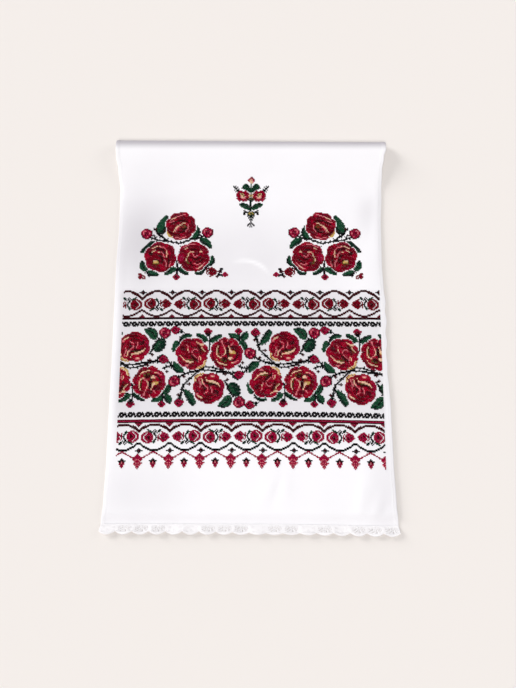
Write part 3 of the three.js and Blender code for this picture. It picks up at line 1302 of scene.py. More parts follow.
@dataclass(frozen=True)
class WorkedEnd:
    """The layout of the worked end in columns and rows, counted down from the upper lattice's crown."""

    first_col: int = 2
    columns: int = 245
    middle_col: int = 122
    upper_twist: int = 33  # the middle row of each band
    roses: int = 75
    lower_twist: int = 119
    lower_lattice: int = 154  # the row of its lowest line, since it hangs upside down
    bouquets: int = -65  # the middle rows of the bouquets
    vase_bouquet: int = -94
    bouquet_from_middle: int = 68  # columns

    def chart(self) -> Chart:
        """Charts the whole worked end.

        Returns:
            The chart.
        """
        chart = Chart(self.first_col, self.columns)
        start = Needle(chart, 0, 0)
        LatticeBorder(Thread.MAROON, Thread.MAROON, Thread.RED).work(start)
        work_lines(start)
        work_twist(start.moved(0, self.upper_twist))
        work_rose_band(start.moved(0, self.roses))
        work_twist(start.moved(0, self.lower_twist, flipped=True))
        lower = LatticeBorder(Thread.BLACK, Thread.MAROON, Thread.CRIMSON, 22, crown=1.9, cusp=9.3,
                              lower_cusp=19.3, lower_bottom=25.3, middle=14, bends=(1.75, 2.0),
                              heavy=(2.0, 0.5))
        lower.work(start.moved(0, self.lower_lattice, flipped=True))
        work_pendants(start.moved(0, self.lower_lattice))
        for side in (-1, 1):
            bouquet = start.moved(self.middle_col + side * self.bouquet_from_middle, self.bouquets,
                                  mirrored=side > 0)
            BOUQUET.work_spray(bouquet)
            BOUQUET.work_roses(bouquet)
        work_centre_bouquet(start.moved(self.middle_col, self.vase_bouquet))
        return chart


# The long edges of the towel, from the frame: y, the left and right edge's distance from the middle, and how
# far each of them droops, all in mm
LONG_EDGES = (
    (-290, 200.2, 200.9, 0.0, 0.0), (-272, 196.2, 198.4, 0.3, 0.3), (-245, 194.2, 196.6, 1.0, 0.5),
    (-190, 193.0, 195.0, 1.3, 0.8), (-120, 192.9, 194.2, 1.3, 1.0), (-50, 192.5, 191.4, 1.4, 1.1),
    (20, 192.9, 192.4, 1.4, 1.1), (95, 193.2, 189.6, 1.4, 1.5), (150, 191.8, 190.4, 1.5, 1.9),
    (205, 192.4, 193.0, 1.6, 2.1), (240, 196.2, 194.4, 1.4, 1.8), (260, 200.2, 197.6, 0.8, 1.0),
    (274, 201.3, 201.3, 0.2, 0.2), (290, 200.6, 200.8, 0.0, 0.0),
)


def measured(x: np.ndarray, y: np.ndarray, centre: Point, degrees: float) -> tuple[np.ndarray, np.ndarray]:
    """Measures places from a centre, along a direction and to its left.

    Args:
        x: places across the towel.
        y: places along it.
        centre: where the measures start.
        degrees: the direction's turn from the right.

    Returns:
        How far along the direction each place is, and how far beside it.
    """
    cos, sin = math.cos(math.radians(degrees)), math.sin(math.radians(degrees))
    return ((x - centre[0]) * cos + (y - centre[1]) * sin, (y - centre[1]) * cos - (x - centre[0]) * sin)


@dataclass(frozen=True)
class SoftFold:
    """A long low swell or hollow of the cloth: where it lies and how it runs, in mm and degrees."""

    x: float
    y: float
    turn: float
    length: float
    width: float
    height: float

    def rise(self, x: np.ndarray, y: np.ndarray) -> np.ndarray:
        """How much the fold lifts the cloth.

        Args:
            x: places across the towel, in mm.
            y: places along it, in mm.

        Returns:
            The lift at each place, in mm.
        """
        along, beside = measured(x, y, (self.x, self.y), self.turn)
        along, beside = along / self.length, beside / self.width
        return self.height * np.exp(-along * along - beside * beside)


@dataclass(frozen=True)
class CurvedRidge:
    """A bowed ridge of the cloth, steep towards the front and gentle behind, in mm and degrees."""

    x: float
    y: float
    turn: float
    half_length: float
    bow: float  # how far its middle lies behind its ends
    steep: float  # how broad its front slope is
    gentle: float  # how broad its back slope is
    height: float

    def rise(self, x: np.ndarray, y: np.ndarray) -> np.ndarray:
        """How much the ridge lifts the cloth.

        Args:
            x: places across the towel, in mm.
            y: places along it, in mm.

        Returns:
            The lift at each place, in mm.
        """
        along, beside = measured(x, y, (self.x, self.y), self.turn)
        along = along / self.half_length
        beside = beside - self.bow * (1 - along * along)
        width = np.where(beside < 0, self.steep, self.gentle)
        return self.height * np.exp(-along ** 4 - (beside / width) ** 2)


# The ridge between the bouquets, which is a plain swell in the frame
MIDDLE_RIDGE = CurvedRidge(3.0, 89, -20, 24, 7.0, 4.5, 26, 0.8)
# Painted highlight: its crest gets this much less painted shade, so a lighter line runs along it
PAINTED_CREST_HIGHLIGHT = CurvedRidge(3.0, 89, -20, 24, 7.0, 3.0, 2.6, 0.27)
# The frame's other folds
FRAME_FOLDS = (
    SoftFold(-164, 150, 82, 80, 24, -0.7), SoftFold(-110, 205, 12, 70, 20, 0.9),
    SoftFold(-10, 66, -20, 44, 14, -0.4), SoftFold(148, 178, 60, 54, 22, -0.6),
    SoftFold(172, 84, 84, 66, 16, 1.0), SoftFold(-120, -38, 12, 90, 34, 0.7),
    SoftFold(96, -74, -8, 90, 34, 0.8), SoftFold(-156, -236, 76, 30, 20, -0.5),
    SoftFold(26, -228, 62, 24, 9, 0.8), SoftFold(50, -224, 84, 20, 9, 0.6),
    SoftFold(152, -240, 74, 32, 10, 0.9),
)
# Narrower creases and dents that only the cloth itself has
CLOTH_CREASES = (
    SoftFold(170, -252, 66, 18, 6, 0.45), SoftFold(180, -256, 64, 16, 6, -0.4),
    SoftFold(14, -224, 60, 20, 5, 0.3), SoftFold(38, -228, 74, 18, 4.5, -0.3),
    SoftFold(150, -232, 80, 22, 5, 0.3), SoftFold(-178, 60, 88, 46, 7, -0.35),
    SoftFold(-60, -232, 20, 34, 12, -0.25), SoftFold(100, -246, -12, 30, 10, 0.25),
    SoftFold(176, 160, 80, 30, 7, -0.4),
)

# Painted shade: how much the white greys in the hollows, at the edges and hem, and over the worked band
PAINTED_SHADE_PATCHES = (
    SoftFold(-30, 98, 0, 170, 78, 0.25), SoftFold(-158, 134, 84, 78, 44, 0.41),
    SoftFold(170, 176, 80, 30, 16, 0.22), SoftFold(-150, -230, 0, 60, 40, 0.17),
    SoftFold(182, -225, 90, 60, 18, 0.19), SoftFold(0, -60, 0, 260, 80, 0.15),
    SoftFold(-170, -60, 90, 90, 26, 0.12), SoftFold(0, -276, 0, 400, 10, 0.07),
)


@dataclass(frozen=True)
class TowelSurface:
    """The towel's folded form, after the frame's, in mm: x to the right, y towards the fold, z up."""

    sheet: float = 1.2  # the thickness of the frame's cloth
    gap: float = 1.6  # between the two layers
    crest: float = 12.0  # height of the sheet's middle over the roll of the fold
    nose: float = 11.0  # how far the roll reaches past its crest
    fold_end: float = 288.0
    fold_slip: float = 1.6  # the fold's right end lies this much nearer
    rise_length: float = 74.0  # the climb to the crest
    back_end: float = -258.0
    back_inset: float = 7.0  # the back layer's long edges lie this far inside the front layer's
    hem_drop: float = 13.0  # the front layer comes down to the surface over this length
    lace_depth: float = 12.0
    lace_slip: float = 2.2  # the front hem's right end hangs this much lower
    droop_width: float = 8.0
    ripple: tuple[float, float, float, float] = (-95.0, 75.0, 31.0, 1.1)  # from, to, pitch and reach
    waves: tuple[float, float] = (0.10, 0.07)  # the slow waves of washed cotton, along and slanting
    pucker: float = 0.07  # where the cloth is embroidered
    worked: tuple[float, float] = (-206.0, 58.0)  # from the pendants to the upper lattice

    @property
    def front_middle(self) -> float:
        """Height of the middle of the front layer where it lies flat."""
        return 1.5 * self.sheet + self.gap

    def edge(self, column: int, y: np.ndarray) -> np.ndarray:
        """A column of the table of long edges, eased from row to row."""
        table = np.array(LONG_EDGES)
        after = np.clip(np.searchsorted(table[:, 0], y), 1, len(table) - 1)
        low, high = table[after - 1], table[after]
        share = ease((y - low[..., 0]) / (high[..., 0] - low[..., 0]))
        return low[..., column] + (high[..., column] - low[..., column]) * share

    def left(self, y: np.ndarray) -> np.ndarray:
        """Where the left edge runs."""
        return -self.edge(1, y)

    def right(self, y: np.ndarray) -> np.ndarray:
        """Where the right edge runs, gently rippled beside the embroidered border."""
        start, end, pitch, reach = self.ripple
        share = np.clip((y - start) / (end - start), 0.0, 1.0)
        return self.edge(2, y) + reach * np.sin(np.pi * share) * np.sin(2 * np.pi * y / pitch)

    def crest_y(self, across: np.ndarray) -> np.ndarray:
        """Where the roll of the fold begins to turn over."""
        return self.fold_end - 0.5 * self.sheet - self.nose - self.fold_slip * ease(across)

    def hem_y(self, across: np.ndarray) -> np.ndarray:
        """Where the cloth ends and the lace begins."""
        return -self.fold_end + self.lace_depth + self.lace_slip * (1 - ease((across - 0.6) / 0.4))

    def x_at(self, across: np.ndarray, y: np.ndarray, inset: np.ndarray | float = 0.0) -> np.ndarray:
        """The place across the towel at a share of its width."""
        left, right = self.left(y) + inset, self.right(y) - inset
        return left + (right - left) * across

    def front(self, across: np.ndarray, y: np.ndarray) -> np.ndarray:
        """Height of the middle of the front layer.

        Args:
            across: share of the width from the left edge.
            y: place along the towel.

        Returns:
            The height at each place, with the cloth's folds, creases and small unevenness.
        """
        x = self.x_at(across, y)
        raised = ease((y - self.back_end + self.hem_drop) / self.hem_drop)
        climb = ease((y - self.crest_y(across) + self.rise_length) / self.rise_length)
        from_edge = np.minimum(x - self.left(y), self.right(y) - x)
        droop = np.where(x < 0, self.edge(3, y), self.edge(4, y)) * ease(1 - from_edge / self.droop_width)
        loose = raised * (1 - climb)
        folds = sum(fold.rise(x, y) for fold in (MIDDLE_RIDGE, *FRAME_FOLDS, *CLOTH_CREASES))
        level = 0.5 * self.sheet + (self.front_middle - 0.5 * self.sheet) * raised
        level = level + climb * (self.crest - self.front_middle)
        return level + loose * (folds - droop) + self.unevenness(x, y)

    def unevenness(self, x: np.ndarray, y: np.ndarray) -> np.ndarray:
        """The cloth's small unevenness.

        Args:
            x: places across the towel.
            y: places along it.

        Returns:
            The lift at each place: slow waves, with shallow puckers between the stitches, calm at both ends.
        """
        # x and y are divided by lengths that have no common measure, so nothing repeats
        waves = (self.waves[0] * np.sin(x / 23 + 1.3 * np.sin(y / 41)) * np.sin(y / 31 + 0.8)
                 + self.waves[1] * np.sin(x / 11 - y / 17 + 2.0) * np.sin(y / 13 + x / 37))
        worked = ease((self.worked[1] - y) / 10) * ease((y - self.worked[0]) / 10)
        puckers = np.sin(x / 3.9 + 0.7 * np.sin(y / 9)) * np.sin(y / 4.6 + 0.9 * np.sin(x / 13))
        calm = ease((self.fold_end - 30 - y) / 40) * ease((y + self.fold_end - 14) / 12)
        return (waves + self.pucker * worked * puckers) * calm

    def top(self, x: np.ndarray, y: np.ndarray) -> tuple[np.ndarray, np.ndarray]:
        """Where the upper face of the front layer is.

        Args:
            x: places across the towel.
            y: places along it.

        Returns:
            The height at each place, and the unit normal there.
        """
        def height(px: np.ndarray, py: np.ndarray) -> np.ndarray:
            """Height of the sheet's middle at places of the plan."""
            left, right = self.left(py), self.right(py)
            return self.front((px - left) / (right - left), py)

        step = 0.6
        slope_x = (height(x + step, y) - height(x - step, y)) / (2 * step)
        slope_y = (height(x, y + step) - height(x, y - step)) / (2 * step)
        length = np.sqrt(1 + slope_x ** 2 + slope_y ** 2)
        normal = np.stack((-slope_x, -slope_y, np.ones_like(length)), axis=-1) / length[..., None]
        return height(x, y) + 0.5 * self.sheet * length, normal


@dataclass(frozen=True)
class TowelCloth:
    """The towel's cloth: one thin sheet over the folds, its long edges turned under in a narrow sewn hem."""

    surface: TowelSurface
    thickness: float = 0.7  # mm
    hem_width: float = 5.5  # mm
    hem_rise: float = 0.3  # mm
    groove: float = 0.45  # how deep the hem's stitches draw in, as a share of its rise
    groove_inside: float = 1.2  # mm from the hem's inner edge
    width: float = 386.0  # mm, the towel's over its middle
    columns: int = 130  # between the two hems
    hem_columns: tuple[float, ...] = (0.0, 0.5, 1.6, 3.0, 4.3, 5.1, 5.7, 6.6, 8.0)  # mm from the edge
    front_rows: int = 210
    nose_rows: int = 24
    back_rows: int = 40
    # painted shade over the turn of the fold, and where along the towel it starts
    fold_painted_shade: float = 0.92  # over the turn of the fold
    fold_shade_starts: float = 269.5  # mm
    # painted shade on the ground between the stitches, over the worked part
    worked_painted_shade: float = 0.27  # between the stitches
    worked: tuple[float, float] = (-190.0, 56.0)  # mm, from the pendants to the upper lattice

    def across(self) -> np.ndarray:
        """The shares of the width where the columns run, closer together over the hems."""
        edge = np.array(self.hem_columns) / self.width
        middle = np.linspace(edge[-1], 1 - edge[-1], self.columns + 1)[1:-1]
        return np.concatenate((edge, middle, 1 - edge[::-1]))

    def hem(self, from_edge: np.ndarray) -> np.ndarray:
        """How much thicker the turned hem is, with a slight groove along its stitches."""
        body = ease((self.hem_width + 0.5 - from_edge) / 1.0)
        rim = ease(from_edge / 0.5)
        groove = np.exp(-((from_edge - self.hem_width + self.groove_inside) / 0.5) ** 2)
        return self.hem_rise * (body * rim - self.groove * groove)

    def middle(self) -> tuple[np.ndarray, np.ndarray]:
        """The sheet's middle and its outward normals over the whole folded length.

        Returns:
            Points in mm and unit normals, row by row from the front hem over the fold to the back end.
        """
        form, across = self.surface, self.across()
        rows, normals = [], []
        for share in np.linspace(0.0, 1.0, self.front_rows + 1):
            # the rows lie closer together at the hem and on the climb
            bunched = share - 0.07 * math.sin(2 * math.pi * share) + 0.02 * math.sin(4 * math.pi * share)
            y = form.hem_y(across) + (form.crest_y(across) - form.hem_y(across)) * bunched
            slope = form.front(across, y + 0.5) - form.front(across, y - 0.5)
            long = np.sqrt(1 + slope ** 2)
            rows.append(np.stack((form.x_at(across, y), y, form.front(across, y)), axis=-1))
            normals.append(np.stack((0 * y, -slope / long, 1 / long), axis=-1))
        half = 0.5 * (form.crest - 0.5 * form.sheet)
        for turn in np.linspace(0.0, math.pi, self.nose_rows + 1)[1:]:
            y = form.crest_y(across) + form.nose * math.sin(turn)
            z = np.full_like(y, 0.5 * form.sheet + half + half * math.cos(turn))
            out = np.array((0.0, half * math.sin(turn), form.nose * math.cos(turn)))
            rows.append(np.stack((form.x_at(across, y), y, z), axis=-1))
            normals.append(np.tile(out / np.linalg.norm(out), (len(across), 1)))
        for share in np.linspace(0.0, 1.0, self.back_rows + 1)[1:]:
            y = form.crest_y(across) + (form.back_end - form.crest_y(across)) * share
            inset = form.back_inset * ease(4 * share)
            z = np.full_like(y, 0.5 * form.sheet)
            rows.append(np.stack((form.x_at(across, y, inset), y, z), axis=-1))
            normals.append(np.tile((0.0, 0.0, -1.0), (len(across), 1)))
        return np.array(rows), np.array(normals)

    def build(self, finish: BleachedCotton) -> bpy.types.Object:
        """Builds the cloth and dresses it.

        Args:
            finish: the cloth's finish.

        Returns:
            The cloth, in the scene.
        """
        middle, normals = self.middle()
        rows, columns = middle.shape[:2]
        edge = self.surface.x_at(np.zeros(columns), middle[..., 1])
        other = self.surface.x_at(np.ones(columns), middle[..., 1])
        from_edge = np.minimum(middle[..., 0] - edge, other - middle[..., 0])
        from_edge = np.maximum(from_edge - from_edge.min(axis=1, keepdims=True), 0.0)
        # The outer face follows the frame's, and the inner one lies a real cloth's thickness behind it
        outer = middle + normals * (0.5 * self.surface.sheet + self.hem(from_edge))[..., None]
        inner = middle + normals * (0.5 * self.surface.sheet - self.thickness)
        points = np.concatenate((outer.reshape(-1, 3), inner.reshape(-1, 3))) * MM
        under = rows * columns
        faces = []
        for row in range(rows - 1):
            for col in range(columns - 1):
                a = row * columns + col
                b, c, d = a + 1, a + 1 + columns, a + columns
                faces.append((a, b, c, d))
                faces.append((a + under, d + under, c + under, b + under))
        rim = list(range(columns))
        rim += [row * columns + columns - 1 for row in range(1, rows)]
        rim += [(rows - 1) * columns + col for col in range(columns - 2, -1, -1)]
        rim += [row * columns for row in range(rows - 2, 0, -1)]
        for a, b in zip(rim, rim[1:] + rim[:1]):
            faces.append((b, a, a + under, b + under))
        cloth = mesh_object("towel_cotton_cloth", points, faces)
        self.lay_map(cloth, middle)
        # The painted shade that the finish mixes in, on both faces
        mark(cloth, "close", np.tile(self.painted_shade_share(middle, from_edge).ravel(), 2))
        return place(cloth, finish.material())

    def painted_shade_share(self, middle: np.ndarray, from_edge: np.ndarray) -> np.ndarray:
        """How much painted shade greys the white cloth at each point of the sheet.

        Args:
            middle: the sheet's points.
            from_edge: how far each lies from the nearer long edge, in mm.

        Returns:
            A share of the finish's shade for each point.
        """
        x, y = middle[..., 0], middle[..., 1]
        # Painted shade in the hollows and at the edges, less on the painted highlight along the crest
        grey = sum(patch.rise(x, y) for patch in PAINTED_SHADE_PATCHES)
        grey -= PAINTED_CREST_HIGHLIGHT.rise(x, y)
        # Painted shade on the ground between the stitches, less of it towards the pendants
        worked = ease((self.worked[1] - y) / 10) * ease((y - self.worked[0]) / 70)
        grey += self.worked_painted_shade * worked * ease((from_edge - 4) / 8)
        # None of this shows past the crest, where painted shade greys the cloth as it turns over the roll
        grey[self.front_rows:] = 0.0
        return grey + self.fold_painted_shade * ease((y - self.fold_shade_starts) / 15)

    def lay_map(self, cloth: bpy.types.Object, middle: np.ndarray) -> None:
        """Gives the cloth its own UV map, in metres along the weft and the warp."""
        along = np.cumsum(np.linalg.norm(np.diff(middle, axis=0, prepend=middle[:1]), axis=-1), axis=0)
        flat = np.stack((middle[..., 0], along), axis=-1).reshape(-1, 2) * MM
        flat = np.concatenate((flat, flat))
        layer = cloth.data.uv_layers.new(name="cloth")
        corner = np.empty(len(cloth.data.loops), dtype=np.int64)
        cloth.data.loops.foreach_get("vertex_index", corner)
        layer.data.foreach_set("uv", flat[corner].ravel())


@dataclass(frozen=True)
class Cord:
    """One thread or rim of the lace: the line it follows and its half width along it, in mm."""

    points: np.ndarray
    radii: np.ndarray


def cord_tree() -> bpy.types.NodeTree:
    """The tree that turns loose edges into slightly flattened cords.

    Returns:
        The tree, which reads the half width from the attribute named radius.
    """
    tree, source = open_tree("cords_along_edges", {
        "Flatness": ("NodeSocketFloat", 0.5), "Sides": ("NodeSocketInt", 6),
        "Material": ("NodeSocketMaterial", None)})
    line = add_node(tree, "GeometryNodeMeshToCurve", {"Mesh": source.outputs["Geometry"]})
    level = add_node(tree, "GeometryNodeSetCurveNormal", {"Curve": line.outputs["Curve"]}, mode="Z_UP")
    ring = add_node(tree, "GeometryNodeCurvePrimitiveCircle", {
        "Resolution": source.outputs["Sides"], "Radius": 1.0})
    squeeze = add_node(tree, "ShaderNodeCombineXYZ", {"X": 1.0, "Y": source.outputs["Flatness"], "Z": 1.0})
    oval = add_node(tree, "GeometryNodeTransform", {"Geometry": ring.outputs["Curve"],
                                                    "Scale": squeeze.outputs["Vector"]})
    width = add_node(tree, "GeometryNodeInputNamedAttribute", {"Name": "radius"}, data_type="FLOAT")
    swept = add_node(tree, "GeometryNodeCurveToMesh", {
        "Curve": level.outputs["Curve"], "Profile Curve": oval.outputs["Geometry"],
        "Scale": width.outputs["Attribute"], "Fill Caps": True})
    close_tree(tree, source, swept.outputs["Mesh"])
    return tree


# One scallop of the lace's ground, from the cloth down: a dot is a hole
LACE_GROUND = """
########################
########################
########.####.###.######
#####.###.##.###.###.###
###.####.#####.###.#####
######.####.#####.###.##
####.####.####.####.####
#######.###.##.###.#####
########################
########################
########################
""".split()


@dataclass(frozen=True)
class LaceEdging:
    """The cotton lace sewn along the front hem: a pierced ground, a heading, and a rim to each scallop."""

    surface: TowelSurface
    scallops: int = 18
    rise: float = 4.2  # mm, from the tip of a scallop to the notch beside it
    seam: float = -1.5  # mm, the heading laps over the cloth
    worn_at: float = 0.6  # share of the width where the scallops are worn flatter
    worn_spread: float = 0.16
    worn_flattening: float = 0.5
    low: float = 1.3  # mm, the ground's underside at the cloth
    ground: float = 0.3  # mm, its thickness
    curl: float = 2.2  # mm, how far the ground rises towards the scallops' tips
    rim_radius: float = 1.8  # mm
    rim_ends: float = 0.36  # how broad the rim is in the notches, as a share of its middle
    tips: float = 1.09  # the worked tips are a millimetre fuller than the frame's
    closed: tuple[int, ...] = (0, 4, 5, 9, 12, 14)  # the scallops that are worked without eyelets
    # the heading's cords: the share of the depth where each runs, and its half width
    heading: tuple[Point, ...] = ((0.13, 0.4), (0.27, 0.35))
    zigzag: Point = (0.14, 0.26)  # the shares of the depth that the heading's zigzag swings between
    # each scallop's rings: the share of its width and of the depth, and the radius in mm
    rings: tuple[tuple[float, float, float], ...] = ((0.19, 0.41, 1.5), (0.5, 0.6, 1.2), (0.81, 0.41, 1.5))

    def reach(self, across: np.ndarray) -> np.ndarray:
        """How far the lace reaches below the cloth: the frame's reach, a little fuller."""
        fullness = 1 - self.worn_flattening * np.exp(-(((across - self.worn_at) / self.worn_spread) ** 2))
        notch = self.rise * fullness * (1 - np.abs(np.sin(np.pi * across * self.scallops)))
        return self.tips * (self.surface.lace_depth - notch)

    def at(self, across: np.ndarray, depth: np.ndarray, lift: np.ndarray | float = 0.0) -> np.ndarray:
        """Places on the lace.

        Args:
            across: shares of the towel's width.
            depth: shares of the way from the cloth to the lace's lower edge.
            lift: how far above the ground's underside, in mm.

        Returns:
            The places in mm. The scallops curl up towards their tips, no two quite alike.
        """
        y = self.surface.hem_y(across) - self.seam - depth * (self.reach(across) - self.seam)
        curl = self.curl * (1 + 0.3 * np.sin(5.3 * np.pi * across * self.scallops / 4)) * depth * (2 - depth)
        places = np.broadcast_arrays(self.surface.x_at(across, y), y, self.low + curl + lift)
        return np.stack(places, axis=-1)

    def line(self, across: np.ndarray, depth: np.ndarray | float, radii: np.ndarray | float,
             lift: float) -> Cord:
        """A cord through places of the lace, with its half width along it."""
        depth, radii = (np.broadcast_to(np.asarray(of, dtype=float), across.shape) for of in (depth, radii))
        return Cord(self.at(across, depth, lift), radii)

    def cords(self) -> list[Cord]:
        """The heading's cords, and each scallop's rim, inner cord and eyelet rings.

        Returns:
            Every cord that lies over the ground.
        """
        full = np.linspace(0.0, 1.0, 12 * self.scallops + 1)
        made = [self.line(full, depth, radius, 0.3) for depth, radius in self.heading]
        inside = np.linspace(0.002, 0.998, 12 * self.scallops + 1)
        swing = np.where(np.arange(len(inside)) % 2 == 0, *self.zigzag)
        made.append(self.line(inside, swing, 0.28, 0.35))
        for i in range(self.scallops):
            share = np.linspace(0.02, 0.98, 25)
            across = (i + share) / self.scallops
            radii = self.rim_radius * (self.rim_ends + (1 - self.rim_ends) * np.sin(np.pi * share) ** 0.9)
            made.append(self.line(across, 1 - radii / self.reach(across), radii, 0.45))
            inner = np.linspace(0.1, 0.9, 17)
            arch = 0.62 + 0.14 * np.sin(np.pi * inner)
            made.append(self.line((i + inner) / self.scallops, arch, 0.42, 0.5))
            for share_at, depth, size in self.rings:
                centre = self.at(np.array([(i + share_at) / self.scallops]), np.array([depth]), 0.5)[0]
                turn = np.linspace(0.0, math.tau, 13)
                ring = centre + size * np.stack((np.cos(turn), np.sin(turn), 0 * turn), axis=-1)
                made.append(Cord(ring, np.full(len(turn), 0.34)))
        return made

    def build_ground(self, finish: bpy.types.Material) -> bpy.types.Object:
        """Builds the pierced ground, as thick as the thread it's worked in.

        Args:
            finish: its material.

        Returns:
            The ground, in the scene.
        """
        rows, columns = len(LACE_GROUND), len(LACE_GROUND[0]) * self.scallops
        scallop = np.array([[letter == "#" for letter in row] for row in LACE_GROUND])
        solid = np.tile(scallop, (1, self.scallops))
        for i in self.closed:
            solid[:, i * len(LACE_GROUND[0]):(i + 1) * len(LACE_GROUND[0])] = True
        across, depth = np.meshgrid(np.linspace(0, 1, columns + 1), np.linspace(0, 0.97, rows + 1))
        layers = [self.at(across, depth, lift).reshape(-1, 3) for lift in (self.ground, 0.0)]
        points = np.concatenate(layers) * MM
        wide, under = columns + 1, (rows + 1) * (columns + 1)
        faces = []
        for row, col in zip(*np.nonzero(solid)):
            corner = row * wide + col
            ring = (corner, corner + wide, corner + wide + 1, corner + 1)
            faces += [ring, tuple(i + under for i in reversed(ring))]
            beside = ((row, col - 1), (row + 1, col), (row, col + 1), (row - 1, col))
            for (a, b), (r, c) in zip(zip(ring, ring[1:] + ring[:1]), beside):
                if not (0 <= r < rows and 0 <= c < columns and solid[r, c]):
                    faces.append((b, a, a + under, b + under))
        return place(mesh_object("cotton_lace_ground", points, faces), finish)

    def build(self, finish: LaceCotton) -> list[bpy.types.Object]:
        """Builds the lace and dresses it.

        Args:
            finish: the lace thread's finish.

        Returns:
            The ground and the cords over it, in the scene.
        """
        material = finish.material()
        points, radii, edges = [], [], []
        for cord in self.cords():
            first = len(points)
            points.extend(cord.points * MM)
            radii.extend(cord.radii * MM)
            edges.extend((first + i, first + i + 1) for i in range(len(cord.points) - 1))
        cords = place(mesh_object("cotton_lace_cords", np.array(points), (), edges))
        mark(cords, "radius", np.array(radii))
        grow(cords, cord_tree(), {"Flatness": 0.45, "Sides": 6, "Material": material})
        return [self.build_ground(material), cords]


def leg(angle: float, length: float, width: float, height: float, lift: float,
        depth: float = 0.12) -> tuple[list[tuple], list[tuple]]:
    """One strand of a stitch: a three-sided bar that dives into the cloth at both ends.

    Args:
        angle: how it lies, in degrees.
        length: from hole to hole, in mm.
        width: the strand's width.
        height: how far it stands up.
        lift: how far it lies above the cloth.
        depth: how far its ends lie under the cloth's face.

    Returns:
        Its points in mm, and its faces.
    """
    half = 0.5 * width * 0.9
    flat = [(-0.5 * length, 0.0, -depth)]
    for along in (-0.4 * length, 0.4 * length):
        flat += [(along, -half, lift), (along, half, lift), (along, 0.0, lift + height)]
    flat.append((0.5 * length, 0.0, -depth))
    cos, sin = math.cos(math.radians(angle)), math.sin(math.radians(angle))
    points = [(x * cos - y * sin, x * sin + y * cos, z) for x, y, z in flat]
    faces = [(0, 2, 1), (0, 3, 2), (0, 1, 3), (1, 2, 5, 4), (2, 3, 6, 5), (3, 1, 4, 6),
             (7, 4, 5), (7, 5, 6), (7, 6, 4)]
    return points, faces


def stitch_unit(name: str, legs: Sequence[tuple[float, float, float, float, float]]) -> bpy.types.Object:
    """The small mesh that a stitch tree repeats.

    Args:
        name: its name.
        legs: each strand's angle, length, width, height and lift.

    Returns:
        The unit, which isn't in the scene.
    """
    points, faces = [], []
    for shape in legs:
        made, sides = leg(*shape)
        faces += [tuple(i + len(points) for i in side) for side in sides]
        points += made
    return mesh_object(name, np.array(points) * MM, faces)


def stitch_tree() -> bpy.types.NodeTree:
    """The tree that works one stitch at each point of a mesh.

    Returns:
        The tree. It reads the cloth's normal and the stitch's turn from the attributes facing and turn, and
        gives each stitch a random tone.
    """
    tree, source = open_tree("stitches_on_points", {
        "Unit": ("NodeSocketObject", None), "Smallest": ("NodeSocketFloat", 0.94),
        "Largest": ("NodeSocketFloat", 1.06), "Seed": ("NodeSocketInt", 1),
        "Material": ("NodeSocketMaterial", None)})
    unit = add_node(tree, "GeometryNodeObjectInfo", {"Object": source.outputs["Unit"]})
    size = add_node(tree, "FunctionNodeRandomValue", {
        2: source.outputs["Smallest"], 3: source.outputs["Largest"], "Seed": source.outputs["Seed"]},
        data_type="FLOAT")
    facing = add_node(tree, "GeometryNodeInputNamedAttribute", {"Name": "facing"}, data_type="FLOAT_VECTOR")
    along = add_node(tree, "GeometryNodeInputNamedAttribute", {"Name": "turn"}, data_type="FLOAT")
    spin = add_node(tree, "ShaderNodeCombineXYZ", {"Z": along.outputs["Attribute"]})
    turned = add_node(tree, "FunctionNodeEulerToRotation", {"Euler": spin.outputs["Vector"]})
    laid = add_node(tree, "FunctionNodeAlignRotationToVector", {
        "Rotation": turned.outputs["Rotation"], "Vector": facing.outputs["Attribute"]}, axis="Z")
    spread = add_node(tree, "GeometryNodeInstanceOnPoints", {
        "Points": source.outputs["Geometry"], "Instance": unit.outputs["Geometry"],
        "Rotation": laid.outputs["Rotation"], "Scale": size.outputs[1]})
    tone = add_node(tree, "FunctionNodeRandomValue", {"Seed": source.outputs["Seed"]}, data_type="FLOAT")
    toned = add_node(tree, "GeometryNodeStoreNamedAttribute", {
        "Geometry": spread.outputs["Instances"], "Name": "tone", "Value": tone.outputs[1]},
        data_type="FLOAT", domain="INSTANCE")
    close_tree(tree, source, toned.outputs["Geometry"])
    return tree


@dataclass(frozen=True)
class StitchPoints:
    """Where stitches lie on the towel: places and normals, and how far each is turned."""

    places: np.ndarray
    normals: np.ndarray
    turns: np.ndarray

    def spread(self, name: str, tree: bpy.types.NodeTree, values: Mapping[str, Any]) -> bpy.types.Object:
        """Works a stitch at every place.

        Args:
            name: the piece's name.
            tree: the stitch tree.
            values: its inputs.

        Returns:
            The stitches as one piece, in the scene.
        """
        piece = place(mesh_object(name, self.places * MM, ()))
        mark(piece, "facing", self.normals)
        mark(piece, "turn", self.turns)
        return grow(piece, tree, values)


